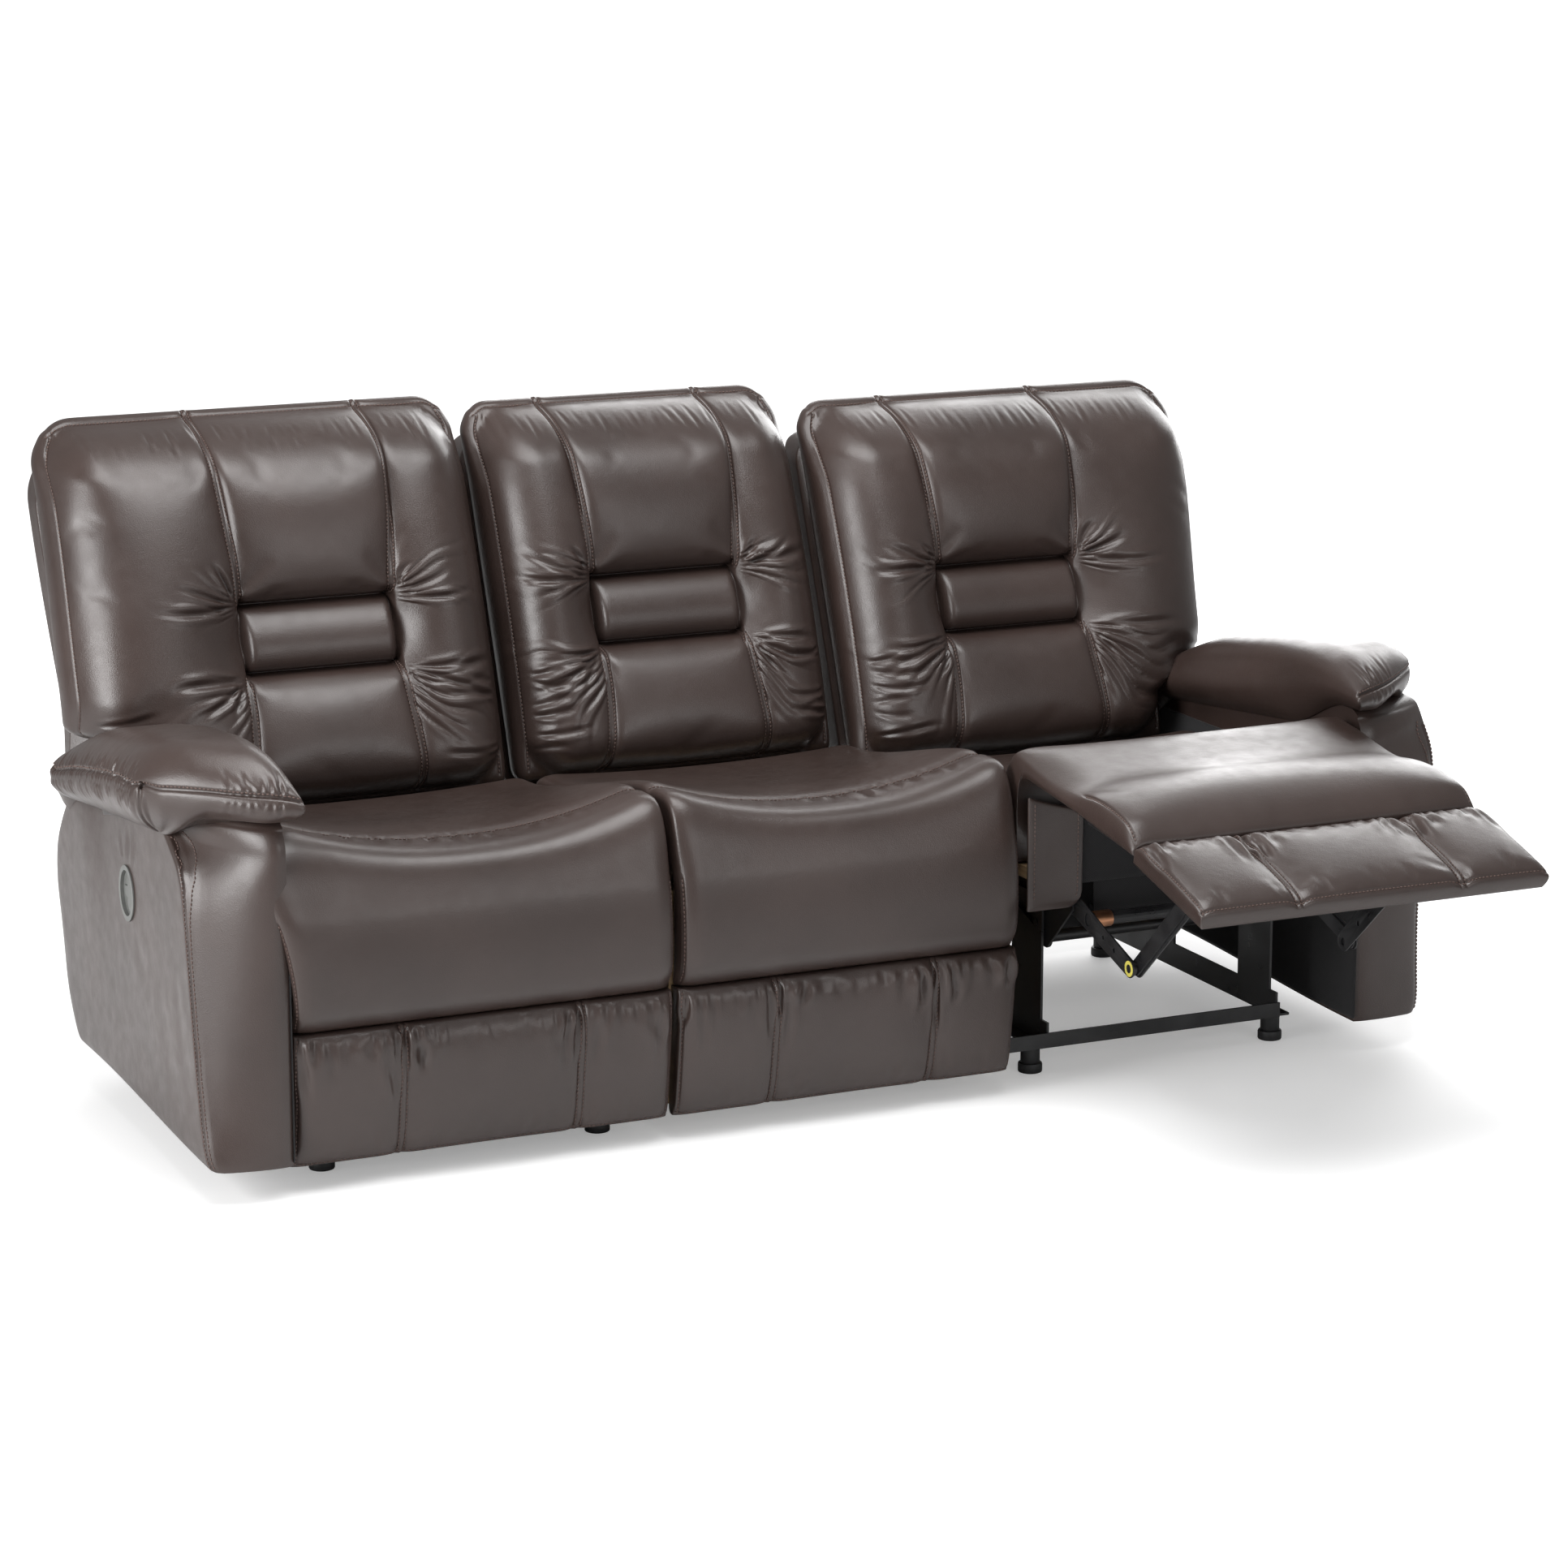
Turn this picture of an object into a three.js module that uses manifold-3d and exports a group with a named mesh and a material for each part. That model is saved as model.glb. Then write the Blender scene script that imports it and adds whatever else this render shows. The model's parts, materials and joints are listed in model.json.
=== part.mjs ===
// Three-seat reclining sofa: two reclining end seats round a fixed centre seat.
// Millimetres, +X to the viewer's right, +Y to the back, +Z up, standing on z = 0.
// The left footrest is folded away and the right one is out, as in the photograph.
import * as THREE from 'three';
import { mergeVertices } from 'three/addons/utils/BufferGeometryUtils.js';
import Module from 'manifold-3d';

const wasm = await Module();
wasm.setup();

const degrees = Math.PI / 180;

// Clearances
const touchGap = 0.3;
const runningGap = 0.5;
const cushionGap = 4;
const overrun = 2;

// Facets of round forms
const arcSegments = 7;
const ovalSegments = 10;
const pinSides = 16;
const footSides = 20;

// Driving sizes of the whole sofa
const centreSeatWidth = 578;
const endSeatWidth = 604;
const armThickness = 127;
const armDepth = 775;
const floorClearance = 48;
const seatUnderside = 385;
const leftOpenShare = 0;
const rightOpenShare = 1;

const centreHalf = centreSeatWidth / 2;
const armInner = centreHalf + endSeatWidth;
const armOuter = armInner + armThickness;
const bayCentre = centreHalf + endSeatWidth / 2;

// Travel of a reclining seat and its footrest
const seatTravelForward = 60;
const seatTravelDown = 20;
const footrestSwing = 81;
const footrestHinge = { y: 22, z: 540 };

// Arm
const armFrontHeight = 560;
const armMiddleHeight = 505;
const armMiddleDepth = 600;
const armRearHeight = 375;
const armRearStart = 712;
const armFrontRadius = 48;
const armWall = 18;
const armPanelThickness = 12;
const armPanelInset = 6;
const armPadOverhang = 51;
const armPadInnerOverhang = 8;
const armPadFrontReach = 16;
const armPadRearEnd = 598;
const armPadHeights = { left: 103, right: 88 };
const armPadRearDrop = 26;
const armPadCornerRound = 150;
const armPadCornerDraw = 138;
const armPadInnerDraw = 22;
const armPadFrontRound = 84;
const armPadRearRound = 62;
const armPadRearDraw = 24;
const armPadEndShare = 0.24;
const armPadLipShare = 0.3;
const armPadCrown = 0.62;
const armPadFloorShares = { outer: 0.72, inner: 0.05 };
const armPadRings = 14;
const armPadRingPoints = 18;

// Release latch in the arm's outer side
const latchCentre = { y: 376, z: 384 };
const latchHalfWidth = 37;
const latchHalfHeight = 43;
const latchRim = 5;
const latchRimProud = 2.5;
const latchCupDepth = 27;
const latchCupWall = 3;
const paddleThickness = 4;
const paddlePivotShare = 0.62;
const paddleGripHalfShare = 0.36;
const paddleGripReachShare = 0.45;
const paddleHeadShares = { outer: 0.5, inner: 0.1, half: 0.75 };
const paddlePivotRadius = 3;
const paddleSetBack = 8;

// Back: cushion, shell and recline hinge
const backSlope = 21.3;
const backSeatLine = { y: 720, z: 430 };
const backTops = { left: 1021, centre: 1007, right: 1002 };
const backCushionBottom = 425;
const backCushionThickness = 138;
const backEdgeThickness = 34;
const backEdgeRadius = 62;
const backInnerCornerRadius = 52;
const backOuterCornerRadius = 104;
const backGap = 16;
const backWingWidth = 111;
const backWingBottom = 600;
const lumbarCentre = 598;
const lumbarHalf = 128;
const lumbarBottom = 629;
const lumbarTop = 732;
const lumbarDrop = 30;
const lumbarTuck = 46;
const tuckWidthShare = 0.12;
const pullWidthShare = 0.9;
const pullReachShare = 0.5;
const panelRoundShare = 0.33;
const bottomCornerShares = { cushion: 0.5, wing: 0.33 };
const rollFullnessShare = 0.6;
const lowRowShares = [0, 0.05, 0.16, 0.36, 0.6, 0.82, 0.94];
const rollRowShares = [0, 0.18, 0.5, 0.82, 1];
const highRowShares = [0.05, 0.16, 0.4, 0.62, 0.8, 0.91, 0.97, 1];
const centreColumnShares = [1, 0.965, 0.88, 0.74, 0.56];
const innerColumnShares = [1, 0.955, 0.86, 0.7];
const outerColumnShares = [0.42, 0.75];
const wingColumnShares = [0.9, 0.965, 1];
const middleColumnShare = 0.4;
const seamDepth = 17;
const seamHalfWidth = 22;
const headBulge = 20;
const lowerBulge = 12;
const shellThickness = 66;
const shellBottom = 310;
const shellWingBottom = 480;
const shellInset = 5;
const shellWingReach = 12;
const shellCornerRadius = 120;
const shellTopDrop = 22;
const reclineHinge = { y: 685, z: 395 };
const hingeEarRadius = 14;
const hingeEarThickness = 4;

// Seat cushion and its frame
const seatFront = 4;
const seatRear = 568;
const seatCentreFrontHeight = 484;
const seatCentreRearHeight = 438;
const seatSideRise = 52;
const seatSideRearRise = 10;
const seatRollRadius = 34;
const seatSideDraw = 5;
const seatSaddlePower = 2.2;
const seatFallPower = 0.8;
const seatColumnShares = [0.15, 0.45, 0.7, 0.88, 0.97, 1];
const seatRollShares = { edge: 0.8, bend: 0.9 };
const seatFrontShares = [
  { reach: 0, rise: 0.35 },
  { reach: 0.22, rise: 0.75 },
  { reach: 0.6, rise: 0.94 },
];
const seatFrontTopShare = 1.3;
const seatTopShares = [0.09, 0.45, 0.72, 0.93];
const seatRearRiseShare = 0.6;
const seatFrameThickness = 19;
const seatFrameFront = 72;
const seatFrameRear = 600;
const seatFrameSide = 16;

// Footrest, sized in its folded position
const creaseHeight = 241;
const creaseFront = -3;
const footrestTop = 472;
const footrestTopFront = 6;
const footrestTip = 34;
const footrestTipFront = 22;
const footrestPadThickness = 44;
const footrestPadEdge = 20;
const footrestSideGap = 4;
const footrestSideRadius = 26;
const footrestBoard = 12;
const footrestBoardInset = 34;
const footrestSeamShares = [-0.44, 0.5];
const footrestSeamDepth = 6;
const footrestSeamHalfShare = 0.035;
const footrestColumnShares = [-1, -0.985, -0.93, -0.8, -0.25, 0, 0.25, 0.8, 0.93, 0.985, 1];
const footrestRowShares = [0, 0.06, 0.2, 0.5, 0.8, 0.94, 1];
const footrestUpperBulge = 4;
const footrestLowerBulge = 3;
const footrestBoardEndShare = 0.12;
const creaseGap = 1.2;

// Lifting links of a footrest
const linkThickness = 4;
const linkHalfWidth = 12;
const linkPin = 6;
const linkPinHole = 6.6;
const elbowWasher = 9;
const liftPivot = { y: 130, z: 330 };
const elbowOpen = { y: -90, z: 255 };
const footrestPivotOpen = { y: -282, z: 434 };
const torsionTubeShare = 0.4;
const torsionTubeRadius = 11;

// Steel base and side plates, as distances out from the middle of the bay
const sidePlateOffset = 200;
const sidePlateThickness = 4;
const sidePlateMargin = 24;
const sidePlateBellyDrop = 36;
const sidePlateTail = [{ y: -84, z: -98 }, { y: -35, z: -49 }];
const sidePlateTailReach = 8.4;
const liftLinkOffset = 192;
const upperLinkOffset = 184;
const footrestEarOffset = 176;
const baseRailOffset = 207;
const baseRailThickness = 4;
const baseRailHeight = 40;
const baseFlangeWidth = 26;
const baseRailRear = 715;
const guidePinClosed = [{ y: 190, z: 262 }, { y: 500, z: 262 }];
const guidePinRadius = 7;
const uprightMargin = 20;
const uprightTopMargin = 20;
const crossRailOuterReach = 213;
const crossRailFront = 84;
const crossRailThickness = 4;
const crossRailFlange = 24;
const crossRailHeightShare = 0.6;
const baseRailFront = crossRailFront + crossRailThickness + touchGap;
const rearPanelFront = 745;
const rearPanelThickness = 12;
const rearPanelTop = 300;
const rearPanelBottom = 60;

// Feet
const footRadius = 21;
const footTopRadius = 17;
const footDistances = [126, 690];

// Centre seat box
const centreBoxTop = seatUnderside - touchGap;
const centreBoxWall = 16;
const centreBoxRear = 620;
const centreSideInset = 1;
const crossRailInnerReach = bayCentre - (centreHalf - centreSideInset + touchGap);
const centreBracketOffset = 150;
const centreBracketTop = seatUnderside - 20;
const centreBracketHeight = 45;

// Release cable along the inside of the arm
const cableRadius = 3;
const cableInset = 20;
const cableDrop = 240;
const cableRun = 130;
const cableSteps = 22;
const cableFacets = 4;
const cableBendShares = [{ run: 0.25, drop: 0.33 }, { run: 0.5, drop: 0.7 }];

// Materials
const leather = new THREE.MeshStandardMaterial({ color: 0x3a2a26, roughness: 0.45, metalness: 0 });
const blackSteel = new THREE.MeshStandardMaterial({ color: 0x141416, roughness: 0.4, metalness: 0.6 });
const timber = new THREE.MeshStandardMaterial({ color: 0x9a7a54, roughness: 0.8, metalness: 0 });
const blackCloth = new THREE.MeshStandardMaterial({ color: 0x1c1b1c, roughness: 0.95, metalness: 0 });
const blackPlastic = new THREE.MeshStandardMaterial({ color: 0x1a1a1b, roughness: 0.5, metalness: 0 });
const greyPlastic = new THREE.MeshStandardMaterial({ color: 0x8a8784, roughness: 0.45, metalness: 0 });

const sofa = new THREE.Group();

// Solid helpers

function outward(geometry) {
  const place = geometry.attributes.position;
  const index = geometry.index.array;
  const a = new THREE.Vector3();
  const b = new THREE.Vector3();
  const c = new THREE.Vector3();
  let volume = 0;
  for (let i = 0; i < index.length; i += 3) {
    a.fromBufferAttribute(place, index[i]);
    b.fromBufferAttribute(place, index[i + 1]);
    c.fromBufferAttribute(place, index[i + 2]);
    volume += a.dot(b.cross(c));
  }
  if (volume < 0) {
    for (let i = 0; i < index.length; i += 3) {
      [index[i + 1], index[i + 2]] = [index[i + 2], index[i + 1]];
    }
  }
  return geometry;
}

function welded(geometry) {
  geometry.deleteAttribute('normal');
  geometry.deleteAttribute('uv');
  return outward(mergeVertices(geometry));
}

function solidFrom(geometry) {
  const clean = welded(geometry);
  return new wasm.Manifold(new wasm.Mesh({
    numProp: 3,
    vertProperties: new Float32Array(clean.attributes.position.array),
    triVerts: new Uint32Array(clean.index.array),
  }));
}

function geometryFrom(solid) {
  const mesh = solid.getMesh();
  const geometry = new THREE.BufferGeometry();
  geometry.setAttribute('position', new THREE.BufferAttribute(new Float32Array(mesh.vertProperties), 3));
  geometry.setIndex(new THREE.BufferAttribute(new Uint32Array(mesh.triVerts), 1));
  return geometry;
}

function joined(pieces) {
  return geometryFrom(pieces.map(solidFrom).reduce((whole, piece) => whole.add(piece)));
}

function cutBy(body, tools) {
  return geometryFrom(tools.map(solidFrom).reduce((rest, tool) => rest.subtract(tool), solidFrom(body)));
}

function addMesh(parent, name, geometry, material) {
  const clean = geometry.attributes.normal ? welded(geometry) : geometry;
  clean.computeVertexNormals();
  const mesh = new THREE.Mesh(clean, material);
  mesh.name = name;
  parent.add(mesh);
  return mesh;
}

function block(x0, x1, y0, y1, z0, z1) {
  const geometry = new THREE.BoxGeometry(Math.abs(x1 - x0), Math.abs(y1 - y0), Math.abs(z1 - z0));
  return geometry.translate((x0 + x1) / 2, (y0 + y1) / 2, (z0 + z1) / 2);
}

// A flat plate cut to a side outline of [y, z] points, from x = near to x = far.
function sidePlate(outline, near, far, holes = []) {
  const shape = new THREE.Shape(outline.map(([y, z]) => new THREE.Vector2(y, z)));
  holes.forEach((hole) => shape.holes.push(hole));
  const left = Math.min(near, far);
  const geometry = new THREE.ExtrudeGeometry(shape, {
    depth: Math.abs(far - near),
    bevelEnabled: false,
    curveSegments: ovalSegments,
  });
  const turn = new THREE.Matrix4().makeBasis(
    new THREE.Vector3(0, 1, 0),
    new THREE.Vector3(0, 0, 1),
    new THREE.Vector3(1, 0, 0),
  );
  return geometry.applyMatrix4(turn).translate(left, 0, 0);
}

function pinAcross(radius, x0, x1, y, z) {
  const geometry = new THREE.CylinderGeometry(radius, radius, Math.abs(x1 - x0), pinSides);
  return geometry.rotateZ(90 * degrees).translate((x0 + x1) / 2, y, z);
}

// A round-ended slot of [y, z] from one centre to another, as a hole in a side outline.
function slotPath(from, to, radius) {
  const angle = Math.atan2(to.z - from.z, to.y - from.y);
  const path = new THREE.Path();
  path.absarc(to.y, to.z, radius, angle - Math.PI / 2, angle + Math.PI / 2, false);
  path.absarc(from.y, from.z, radius, angle + Math.PI / 2, angle + Math.PI * 1.5, false);
  path.closePath();
  return path;
}

const pinHole = (pivot) => new THREE.Path().absarc(pivot.y, pivot.z, linkPinHole, 0, 2 * Math.PI, true);

// A flat link between two pivots with round ends and a hole at each pivot that is asked for.
function linkPlate(from, to, near, far, holed) {
  const angle = Math.atan2(to.z - from.z, to.y - from.y);
  const outline = new THREE.Path();
  outline.absarc(to.y, to.z, linkHalfWidth, angle - Math.PI / 2, angle + Math.PI / 2, false);
  outline.absarc(from.y, from.z, linkHalfWidth, angle + Math.PI / 2, angle + Math.PI * 1.5, false);
  const points = outline.getPoints(arcSegments).map((point) => [point.x, point.y]);
  return sidePlate(points, near, far, holed.map(pinHole));
}

// A closed solid through rings of equally many points, with flat ends.
function loft(rings) {
  const perRing = rings[0].length;
  const positions = rings.flat(2);
  const index = [];
  for (let r = 0; r + 1 < rings.length; r += 1) {
    for (let i = 0; i < perRing; i += 1) {
      const next = (i + 1) % perRing;
      const a = r * perRing + i;
      const b = r * perRing + next;
      index.push(a, b, b + perRing, a, b + perRing, a + perRing);
    }
  }
  const last = (rings.length - 1) * perRing;
  const flat = (ring, fixedAxis) => ring.map((point) => {
    const rest = point.filter((value, axis) => axis !== fixedAxis);
    return new THREE.Vector2(rest[0], rest[1]);
  });
  const spans = [0, 1, 2].map((axis) => {
    const values = rings[0].map((point) => point[axis]);
    return Math.max(...values) - Math.min(...values);
  });
  const fixedAxis = spans.indexOf(Math.min(...spans));
  const start = THREE.ShapeUtils.triangulateShape(flat(rings[0], fixedAxis), []);
  const end = THREE.ShapeUtils.triangulateShape(flat(rings[rings.length - 1], fixedAxis), []);
  const ahead = cross2(rings[0], fixedAxis) > 0;
  start.forEach(([a, b, c]) => {
    index.push(...(ahead ? [a, c, b] : [a, b, c]));
  });
  end.map((face) => face.map((corner) => last + corner)).forEach(([a, b, c]) => {
    index.push(...(ahead ? [a, b, c] : [a, c, b]));
  });
  const geometry = new THREE.BufferGeometry();
  geometry.setAttribute('position', new THREE.Float32BufferAttribute(positions, 3));
  geometry.setIndex(index);
  return outward(geometry);
}

// Twice the signed area of a ring seen along one axis.
function cross2(ring, fixedAxis) {
  const flat = ring.map((point) => point.filter((value, axis) => axis !== fixedAxis));
  return flat.reduce((sum, [u, v], i) => {
    const [p, q] = flat[(i + 1) % flat.length];
    return sum + (u * q - p * v);
  }, 0);
}

const clamp01 = (value) => Math.min(1, Math.max(0, value));
const mix = (a, b, share) => a + (b - a) * share;
const smooth = (value) => clamp01(value) ** 2 * (3 - 2 * clamp01(value));
const quarterRound = (distance, radius) => Math.sqrt(1 - (1 - clamp01(distance / radius)) ** 2);
const bell = (distance, width) => Math.exp(-((distance / width) ** 2));
const cornerDrop = (distance, radius) => radius * (1 - quarterRound(distance, radius));

// A group that turns its children about a pivot line along X.
function turnedGroup(parent, pivot, angle) {
  const frame = new THREE.Group();
  frame.position.set(0, pivot.y, pivot.z);
  frame.rotation.x = angle;
  const inside = new THREE.Group();
  inside.position.set(0, -pivot.y, -pivot.z);
  frame.add(inside);
  parent.add(frame);
  return inside;
}

function turnedPoint(point, pivot, angle) {
  const y = point.y - pivot.y;
  const z = point.z - pivot.z;
  return {
    y: pivot.y + y * Math.cos(angle) - z * Math.sin(angle),
    z: pivot.z + y * Math.sin(angle) + z * Math.cos(angle),
  };
}

const heading = (from, to) => Math.atan2(to.z - from.z, to.y - from.y);
const distance = (from, to) => Math.hypot(to.z - from.z, to.y - from.y);

// Where two bars from two pivots meet, on the side away from the sofa's front.
function rearMeeting(first, firstLength, second, secondLength) {
  const span = distance(first, second);
  const along = (firstLength ** 2 - secondLength ** 2 + span ** 2) / (2 * span);
  const off = Math.sqrt(firstLength ** 2 - along ** 2);
  const angle = heading(first, second);
  return {
    y: first.y + along * Math.cos(angle) - off * Math.sin(angle),
    z: first.z + along * Math.sin(angle) + off * Math.cos(angle),
  };
}

// Arms

const armTopSlope = (armMiddleHeight - armFrontHeight) / (armMiddleDepth - armFrontRadius);
const armTopAt = (y) => armFrontHeight + armTopSlope * (y - armFrontRadius);

function armOutline(inset) {
  const top = new THREE.Path();
  top.moveTo(inset, floorClearance + inset);
  top.lineTo(inset, armFrontHeight - armFrontRadius);
  const bend = { y: armFrontRadius, z: armFrontHeight - armFrontRadius };
  top.absarc(bend.y, bend.z, armFrontRadius - inset, Math.PI, Math.PI / 2, true);
  const points = top.getPoints(arcSegments).map((point) => [point.x, point.y]);
  points.push([armMiddleDepth, armMiddleHeight - inset]);
  points.push([armRearStart, armRearHeight - inset]);
  points.push([armDepth - inset, armRearHeight - inset]);
  points.push([armDepth - inset, floorClearance + inset]);
  return points;
}

function ovalRing(halfWidth, halfHeight, near, far) {
  const shape = new THREE.Shape();
  shape.absellipse(latchCentre.y, latchCentre.z, halfWidth, halfHeight, 0, 2 * Math.PI);
  const points = shape.getPoints(ovalSegments).slice(1).map((point) => [point.x, point.y]);
  return sidePlate(points, near, far);
}

function armShell(side) {
  const panelFace = armInner + armPanelThickness + touchGap;
  const body = sidePlate(armOutline(0), side * panelFace, side * armOuter);
  const hollow = sidePlate(armOutline(armWall), side * (panelFace - overrun), side * (armOuter - armWall));
  const latchHole = ovalRing(
    latchHalfWidth - latchRim + touchGap,
    latchHalfHeight - latchRim + touchGap,
    side * (armOuter - armWall - overrun),
    side * (armOuter + overrun),
  );
  return cutBy(body, [hollow, latchHole]);
}

function armPanel(side) {
  return sidePlate(armOutline(armPanelInset), side * armInner, side * (armInner + armPanelThickness));
}

// The pillow top of an arm: rings across the arm from its front end to its rear end.
function armPad(side, fullHeight) {
  const length = armPadRearEnd + armPadFrontReach;
  const rings = [];
  for (let r = 0; r <= armPadRings; r += 1) {
    const eased = (1 - Math.cos((Math.PI * r) / armPadRings)) / 2;
    const fromFront = eased * length;
    const fromRear = length - fromFront;
    const y = fromFront - armPadFrontReach;
    const frontSwell = quarterRound(fromFront, armPadFrontRound);
    const rearSwell = quarterRound(fromRear, armPadRearRound);
    const fullness = mix(armPadEndShare, 1, Math.min(frontSwell, rearSwell));
    const height = (fullHeight - armPadRearDrop * smooth(eased)) * fullness;
    const lip = height * armPadLipShare;
    const floor = armTopAt(y) + touchGap;
    const rearDraw = armPadRearDraw * (1 - rearSwell);
    const frontDraw = 1 - quarterRound(fromFront, armPadCornerRound);
    const inner = armInner - armPadInnerOverhang + armPadInnerDraw * frontDraw + rearDraw;
    const outer = armOuter + armPadOverhang - armPadCornerDraw * frontDraw - rearDraw;
    const ring = [];
    for (let i = 0; i < armPadRingPoints; i += 1) {
      const turn = (Math.PI * i) / (armPadRingPoints - 1);
      const across = mix(inner, outer, (1 - Math.cos(turn)) / 2);
      ring.push([side * across, y, floor + lip + (height - lip) * Math.sin(turn) ** armPadCrown]);
    }
    ring.push([side * mix(inner, outer, armPadFloorShares.outer), y, floor]);
    ring.push([side * mix(inner, outer, armPadFloorShares.inner), y, floor]);
    rings.push(ring);
  }
  return loft(rings);
}

// Release latch

function latchBezel(side) {
  const rim = ovalRing(
    latchHalfWidth,
    latchHalfHeight,
    side * (armOuter + touchGap),
    side * (armOuter + latchRimProud),
  );
  const cup = ovalRing(
    latchHalfWidth - latchRim,
    latchHalfHeight - latchRim,
    side * (armOuter + latchRimProud),
    side * (armOuter - latchCupDepth),
  );
  const well = ovalRing(
    latchHalfWidth - latchRim - latchCupWall,
    latchHalfHeight - latchRim - latchCupWall,
    side * (armOuter + latchRimProud + overrun),
    side * (armOuter - latchCupDepth + latchCupWall),
  );
  return geometryFrom(solidFrom(rim).add(solidFrom(cup)).subtract(solidFrom(well)));
}

function latchPaddle(side) {
  const wellHalfWidth = latchHalfWidth - latchRim - latchCupWall;
  const wellHalfHeight = latchHalfHeight - latchRim - latchCupWall;
  const pivotY = latchCentre.y + wellHalfWidth * paddlePivotShare;
  const pivotEdgeShare = paddlePivotShare + paddlePivotRadius / wellHalfWidth;
  const chord = wellHalfHeight * Math.sqrt(1 - pivotEdgeShare ** 2);
  const face = armOuter - paddleSetBack;
  const pivotHalf = chord - 2 * runningGap;
  const barrel = new THREE.CylinderGeometry(paddlePivotRadius, paddlePivotRadius, 2 * pivotHalf, pinSides)
    .rotateX(90 * degrees)
    .translate(side * (face - paddleThickness / 2), pivotY, latchCentre.z);
  const half = chord * paddleGripHalfShare;
  const grip = block(
    side * face,
    side * (face - paddleThickness),
    latchCentre.y - wellHalfWidth * paddleGripReachShare,
    pivotY,
    latchCentre.z - half,
    latchCentre.z + half,
  );
  const head = block(
    side * face,
    side * (face - paddleThickness),
    latchCentre.y - wellHalfWidth * paddleHeadShares.outer,
    latchCentre.y - wellHalfWidth * paddleHeadShares.inner,
    latchCentre.z - chord * paddleHeadShares.half,
    latchCentre.z + chord * paddleHeadShares.half,
  );
  return joined([barrel, grip, head]);
}

// Release cable, from the cup of the latch down the inside of the arm to the base.
function releaseCable(side) {
  const at = (x, run, drop) => new THREE.Vector3(
    side * x,
    latchCentre.y + cableRun * run,
    latchCentre.z - cableDrop * drop,
  );
  const start = armOuter - latchCupDepth - touchGap;
  const route = new THREE.CatmullRomCurve3([
    at(start, 0, 0),
    at(start - cableRadius, 0, 0),
    at(start - 2 * cableRadius, 0, 0),
    ...cableBendShares.map((bend) => at(armOuter - latchCupDepth - cableInset, bend.run, bend.drop)),
    at(armInner + armPanelThickness + cableRadius + 2 * touchGap, 1, 1),
  ]);
  const section = new THREE.Shape();
  section.absarc(0, 0, cableRadius, 0, 2 * Math.PI);
  return new THREE.ExtrudeGeometry(section, {
    extrudePath: route,
    steps: cableSteps,
    curveSegments: cableFacets,
    bevelEnabled: false,
  });
}

// Back cushions

const slopeTan = Math.tan(backSlope * degrees);
const backPlaneY = (z) => backSeatLine.y + slopeTan * (z - backSeatLine.z);

// Heights of the rows of a back cushion, with the two tucks of the lumbar roll among them.
function backRows(bottom, top) {
  return [
    ...lowRowShares.map((share) => mix(bottom, lumbarBottom, share)),
    ...rollRowShares.map((share) => mix(lumbarBottom, lumbarTop, share)),
    ...highRowShares.map((share) => mix(lumbarTop, top, share)),
  ];
}

// How far the cushion's face stands out at a distance across from the lumbar roll's middle.
function backRelief(across, z, highest) {
  const off = Math.abs(across) - lumbarHalf;
  const seam = seamDepth * bell(off, seamHalfWidth);
  const rollShare = (z - lumbarBottom) / (lumbarTop - lumbarBottom);
  if (off > 0) {
    const pull = lumbarDrop * bell(off, lumbarHalf * pullReachShare) * bell(rollShare - 0.5, pullWidthShare);
    return -seam - pull;
  }
  const roundAcross = quarterRound(-off, lumbarHalf * panelRoundShare);
  const tucks = lumbarTuck * (bell(rollShare, tuckWidthShare) + bell(rollShare - 1, tuckWidthShare));
  if (rollShare > 0 && rollShare < 1) {
    const roll = Math.sin(Math.PI * rollShare) * roundAcross;
    return -mix(lumbarTuck, lumbarDrop * rollFullnessShare, roll);
  }
  const bump = rollShare >= 1
    ? headBulge * Math.sin(Math.PI * clamp01((z - lumbarTop) / (highest - lumbarTop)))
    : lowerBulge * Math.sin(Math.PI * clamp01((lumbarBottom - z) / (lumbarBottom - backCushionBottom)));
  return bump * roundAcross - seam - tucks;
}

function backCushion(columns, centre, side, inner, outer, outerRadius, wingFrom, highest) {
  const rings = columns.map((across) => {
    const x = centre + across;
    const fromInner = x - inner;
    const fromOuter = outer - x;
    const edge = Math.min(fromInner, fromOuter);
    const onWing = x > wingFrom;
    const top = highest - Math.max(
      cornerDrop(fromInner, backInnerCornerRadius),
      cornerDrop(fromOuter, outerRadius),
    );
    const bottom = onWing
      ? backWingBottom + cornerDrop(fromOuter, backInnerCornerRadius * bottomCornerShares.wing)
      : backCushionBottom
        + cornerDrop(Math.min(fromInner, wingFrom - x), backInnerCornerRadius * bottomCornerShares.cushion);
    const rows = backRows(bottom, top);
    const ring = rows.map((z) => {
      const up = quarterRound(z - bottom, backEdgeRadius) * quarterRound(top - z, backEdgeRadius);
      const sides = quarterRound(edge, backEdgeRadius);
      const full = backCushionThickness + backRelief(across, z, highest);
      return [side * x, backPlaneY(z) - mix(backEdgeThickness, full, up * sides) - touchGap, z];
    });
    ring.push([side * x, backPlaneY(top) - touchGap, top]);
    ring.push([side * x, backPlaneY(bottom) - touchGap, bottom]);
    return ring;
  });
  return loft(rings);
}

const centreColumns = () => {
  const panel = centreHalf - backGap / 2;
  const outerHalf = centreColumnShares.map((share) => share * panel);
  const seam = [lumbarHalf + seamHalfWidth, lumbarHalf, lumbarHalf - seamHalfWidth];
  const half = [...outerHalf.filter((value) => value > seam[0]), ...seam, lumbarHalf * middleColumnShare];
  return [...half.map((value) => -value), ...half.slice().reverse()];
};

const endInner = centreHalf + backGap / 2;
const endOuter = armInner + backWingWidth;
const wingStart = armInner - armPadInnerOverhang - cushionGap;

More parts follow.
